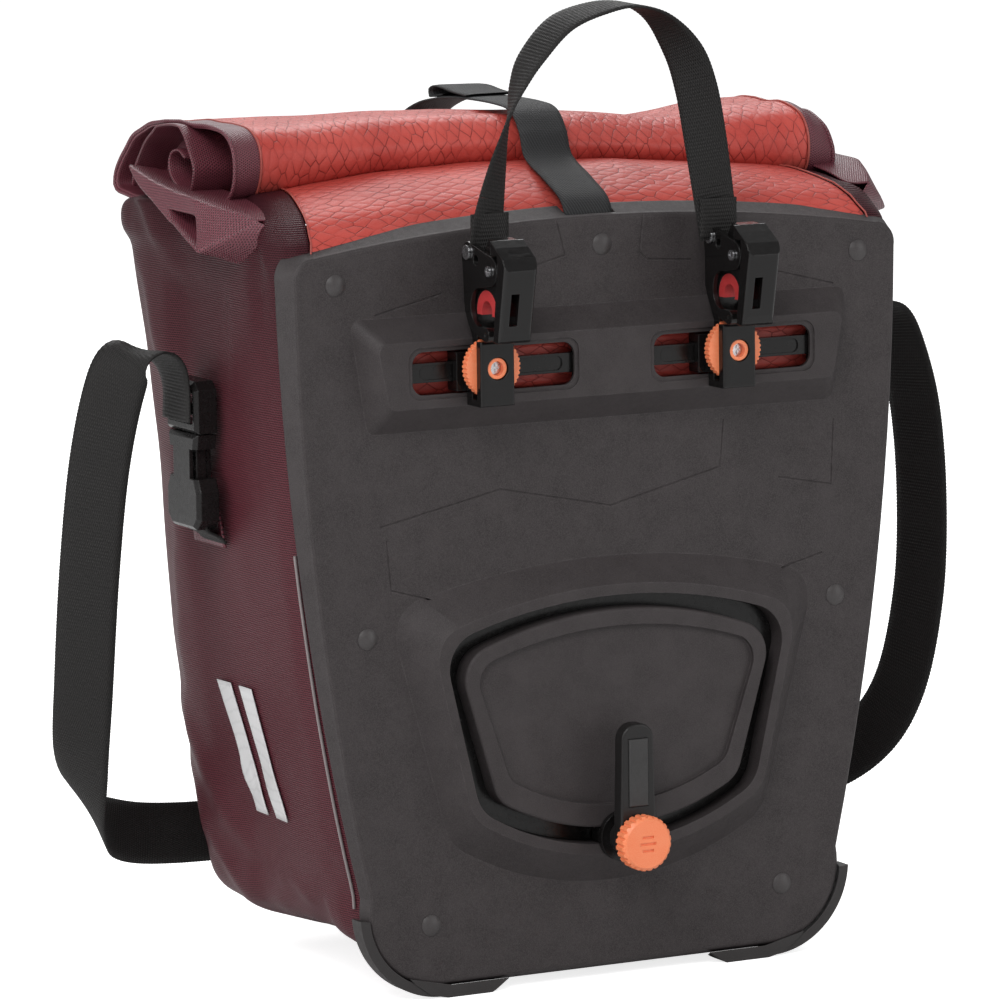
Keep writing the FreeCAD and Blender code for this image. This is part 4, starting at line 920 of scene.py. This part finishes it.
def closure():
    """The strap over the roll, its folded tail, and the short band that holds the socket."""
    path = [(-4, 4.3, 350), (-4, 5, 360), (-4, 10, 369), (-3, 28, 377), (0, 52, 385), (2, 62, 397),
            (3, 73, 405.5), (4, 92, 407.8), (5, 128, 408), (5, 152, 406.5), (4, 172, 403), (2, 187, 396),
            (0, 196, 385), (-2, 198.4, 372), (-3, 198.3, 352), (-3, 198.3, 331)]
    obj = closure_band("closure_webbing", path, (1, 0, 0), 1.5)
    bend(obj, CLOSURE, *CLOSURE_BEND, ("closure_strap", "closure_strap_end"))
    tail = [(5, 122, 409.6), (5.5, 136, 410.4), (6.5, 150, 411.6), (7.5, 160, 411.4), (8, 166, 408.8),
            (8, 162, 406.8), (7, 150, 408.0)]
    obj = closure_band("closure_tail", tail, (1, -0.25, 0), 1.4)
    bend(obj, CLOSURE, *CLOSURE_BEND)
    path = [(-3, 163.5, 236), (-3, 165.5, 248), (-3, 176, 256), (-3, 194, 259.5), (-3, 199, 261)]
    obj = closure_band("anchor_webbing", path, (1, 0, 0), 1.5)
    dress(obj, CLOSURE, "root", ("closure_anchor",))


def strap_lean(x, most):
    """How far the shoulder strap leans back, which grows as it leaves the buckle."""
    return most * min(1.0, (x - BUCKLE_EYE_X) / 30.0)


def shoulder():
    """The shoulder strap, in one length from buckle to buckle behind the bag."""
    # x, y, z and how far the webbing has turned to face up
    eye = [(BUCKLE_EYE_X, BUCKLE_Y, z, 0) for z in (268, 284)]
    left = eye + [
        (180, 93, 295, 0), (189, 93, 300.5, 0), (200, 95, 297, 0), (206, 99, 281, 0), (211, 106, 245, 0),
        (213, 115, 195, 0.05), (212, 127, 140, 0.3), (206, 146, 100, 0.7), (192, 170, 72, 1.3),
        (166, 195, 55, 3), (128, 210, 47, 9), (62, 219, 44, 9)]
    right = eye + [
        (181, 93, 295, 0), (193, 93, 301, 0), (208, 94, 296, 0), (219, 96, 277, 0), (229, 99, 245, 0),
        (235, 103, 200, 0.05), (236, 108, 150, 0.2), (230, 117, 102, 0.5), (218, 134, 72, 1),
        (196, 162, 53, 2), (166, 190, 46, 5), (128, 208, 44, 9), (62, 219, 43, 9)]
    stations = [(-x, y, z, -strap_lean(x, 1.0), 1, lift) for x, y, z, lift in left]
    stations.append((0, 222, 43, 0, 0, 1))
    stations += [(x, y, z, strap_lean(x, -0.45), 1, lift) for x, y, z, lift in reversed(right)]
    full = np.array(stations, float)
    obj = webbing("shoulder_webbing", full[:, :3], unit(full[:, 3:]), SHOULDER_W, 1.8)
    dress(obj, WEB, "shoulder_loop", ("shoulder_strap",))


# ---- things sewn or glued on the sides ----
def on_side(tree, sign, y, z, lift):
    """The outside of the side fabric at a place, lifted off by a little."""
    start = Vector(row((sign * 260, y, z)))
    hit, normal, _, _ = tree.ray_cast(start, Vector((-sign, 0, 0)))
    if normal.x * sign < 0:
        normal = -normal
    return np.array(hit) * 1000.0 - ORIGIN_SHIFT + np.array(normal) * lift


def side_patch(name, tree, sign, corners, lift, thick, cols=14):
    """A four-cornered patch laid on the side: corners as (y, z), lower pair then upper pair."""
    (a, b), (c, d) = corners
    rows = 18
    grid = np.zeros((rows, cols, 3))
    for i, v in enumerate(np.linspace(0, 1, rows)):
        for j, u in enumerate(np.linspace(0, 1, cols)):
            low = np.array(a) * (1 - u) + np.array(b) * u
            high = np.array(c) * (1 - u) + np.array(d) * u
            y, z = low * (1 - v) + high * v
            grid[i, j] = on_side(tree, sign, y, z, lift)
    if sign > 0:
        grid = grid[:, ::-1]
    return sheet(name, grid, thick=thick)


def sewn_on(grid):
    """The reflective bars, the buckle patches with their webbing, and the piping along the panel."""
    probe = sheet("body_probe", grid, wrap=True)
    bpy.context.view_layer.update()
    places = [v.co for v in probe.data.vertices]
    tree = BVHTree.FromPolygons(places, [p.vertices for p in probe.data.polygons])
    bpy.data.objects.remove(probe)
    for name, sign in SIDES:
        for k, y0 in enumerate((62.0, 84.0)):
            corners = (((y0, 78), (y0 + 13, 78)), ((y0 + 16, 140), (y0 + 29, 140)))
            obj = side_patch("film_%s_%d" % (name, k), tree, sign, corners, 0.9, 0.5)
            dress(obj, FILM, "root", ("side_reflector_" + name,))
        patch = (((80, 208), (112, 208)), ((92, 246), (112, 246)))
        obj = side_patch("patch_" + name, tree, sign, patch, 1.5, 1.2)
        dress(obj, GUSSET, "root", ("buckle_patch_" + name,))
        strip = (((81, 209), (84.5, 209)), ((92.5, 243), (96, 243)))
        obj = side_patch("patch_edge_" + name, tree, sign, strip, 2.1, 0.5, 4)
        dress(obj, FILM)
        loop = on_side(tree, sign, BUCKLE_Y, 210, 2.0)
        path = [loop, loop + (sign * 2.5, 0, 3)]
        path += [(sign * 167.5, BUCKLE_Y, 216.5), (sign * 168.6, BUCKLE_Y, 221)]
        obj = webbing("buckle_web_" + name, path, [(0, 1, 0)] * 4, 28.0, WEB_T)
        dress(obj, WEB)
        line = [on_side(tree, sign, 14.4, z, 0.7) for z in np.linspace(44, 212, 60)]
        dress(tube("piping_" + name, line, 0.8), PIPING, "root", ("panel_piping_" + name,))


# ---- camera, light and floor ----
def white_world():
    """White where the camera sees it, and a dimmer soft light on the bag."""
    world = bpy.data.worlds.new("studio")
    bpy.context.scene.world = world
    world.use_nodes = True
    nodes, links = world.node_tree.nodes, world.node_tree.links
    soft = nodes["Background"]
    seen = nodes.new("ShaderNodeBackground")
    for shader, strength in ((soft, 0.36), (seen, 1.0)):
        shader.inputs["Color"].default_value = (1, 1, 1, 1)
        shader.inputs["Strength"].default_value = strength
    mix = nodes.new("ShaderNodeMixShader")
    links.new(nodes.new("ShaderNodeLightPath").outputs["Is Camera Ray"], mix.inputs[0])
    links.new(soft.outputs[0], mix.inputs[1])
    links.new(seen.outputs[0], mix.inputs[2])
    links.new(mix.outputs[0], nodes["World Output"].inputs["Surface"])


def pale_floor():
    """A large floor that the camera sees as nearly white."""
    floor = bpy.data.meshes.new("floor")
    size = 40.0
    z = ORIGIN_SHIFT[2] / 1000.0
    corners = [(-size, -size, z), (size, -size, z), (size, size, z), (-size, size, z)]
    floor.from_pydata(corners, [], [(0, 1, 2, 3)])
    obj = link_object("floor", floor)
    look = Look("floor_paper")
    tone = look.mix(look.grain(3.0, 2.0), (0.84, 0.84, 0.84), (0.88, 0.88, 0.88))
    glow = look.calc("MULTIPLY", look.node("ShaderNodeLightPath").outputs["Is Camera Ray"], 0.78)
    floor.materials.append(look.done(tone, 0.95, Emission_Color=(1.0, 1.0, 1.0), Emission_Strength=glow))


def soft_lights():
    for name, place, aim, energy, wide in (
            ("key", (-1.6, -1.7, 1.9), (0, 0.05, -0.1), 48.0, 1.5),
            ("fill", (1.7, -1.9, 0.7), (0, 0, -0.1), 14.0, 1.8),
            ("side", (-2.4, 0.4, 0.5), (0, 0.05, -0.1), 18.0, 1.2),
            ("back", (0.5, 1.9, 1.8), (0, 0.1, 0), 36.0, 1.8)):
        light = bpy.data.lights.new(name, "AREA")
        light.energy = energy
        light.size = wide
        lamp = bpy.data.objects.new(name, light)
        lamp.location = place
        lamp.rotation_euler = (Vector(aim) - Vector(place)).to_track_quat("-Z", "Y").to_euler()
        bpy.context.scene.collection.objects.link(lamp)


def photo_camera():
    """A long lens at the photograph's angle: round to the left, a little above, and slightly tilted."""
    az, el, turn = math.radians(-27.3), math.radians(8.16), math.radians(-0.76)
    back = Vector((math.sin(az) * math.cos(el), -math.cos(az) * math.cos(el), math.sin(el)))
    side = Vector((math.cos(az), math.sin(az), 0))
    up = back.cross(side)
    right = side * math.cos(turn) + up * math.sin(turn)
    above = up * math.cos(turn) - side * math.sin(turn)
    aim = Vector(row((-55.0, 0.0, 232.0)))
    distance = 2.952
    lens = bpy.data.cameras.new("camera")
    lens.lens = 229.2
    lens.sensor_width = 36.0
    lens.clip_end = 50.0
    camera = bpy.data.objects.new("camera", lens)
    bpy.context.scene.collection.objects.link(camera)
    axes = Matrix((right, above, back)).transposed().to_4x4()
    camera.matrix_world = Matrix.Translation(aim + back * distance) @ axes
    bpy.context.scene.camera = camera


finish_nodes()
body = body_pieces()
roll_pieces()
sewn_on(body)
handle()
closure()
shoulder()
bpy.context.scene.view_settings.view_transform = "Standard"
white_world()
pale_floor()
soft_lights()
photo_camera()
bpy.context.view_layer.update()
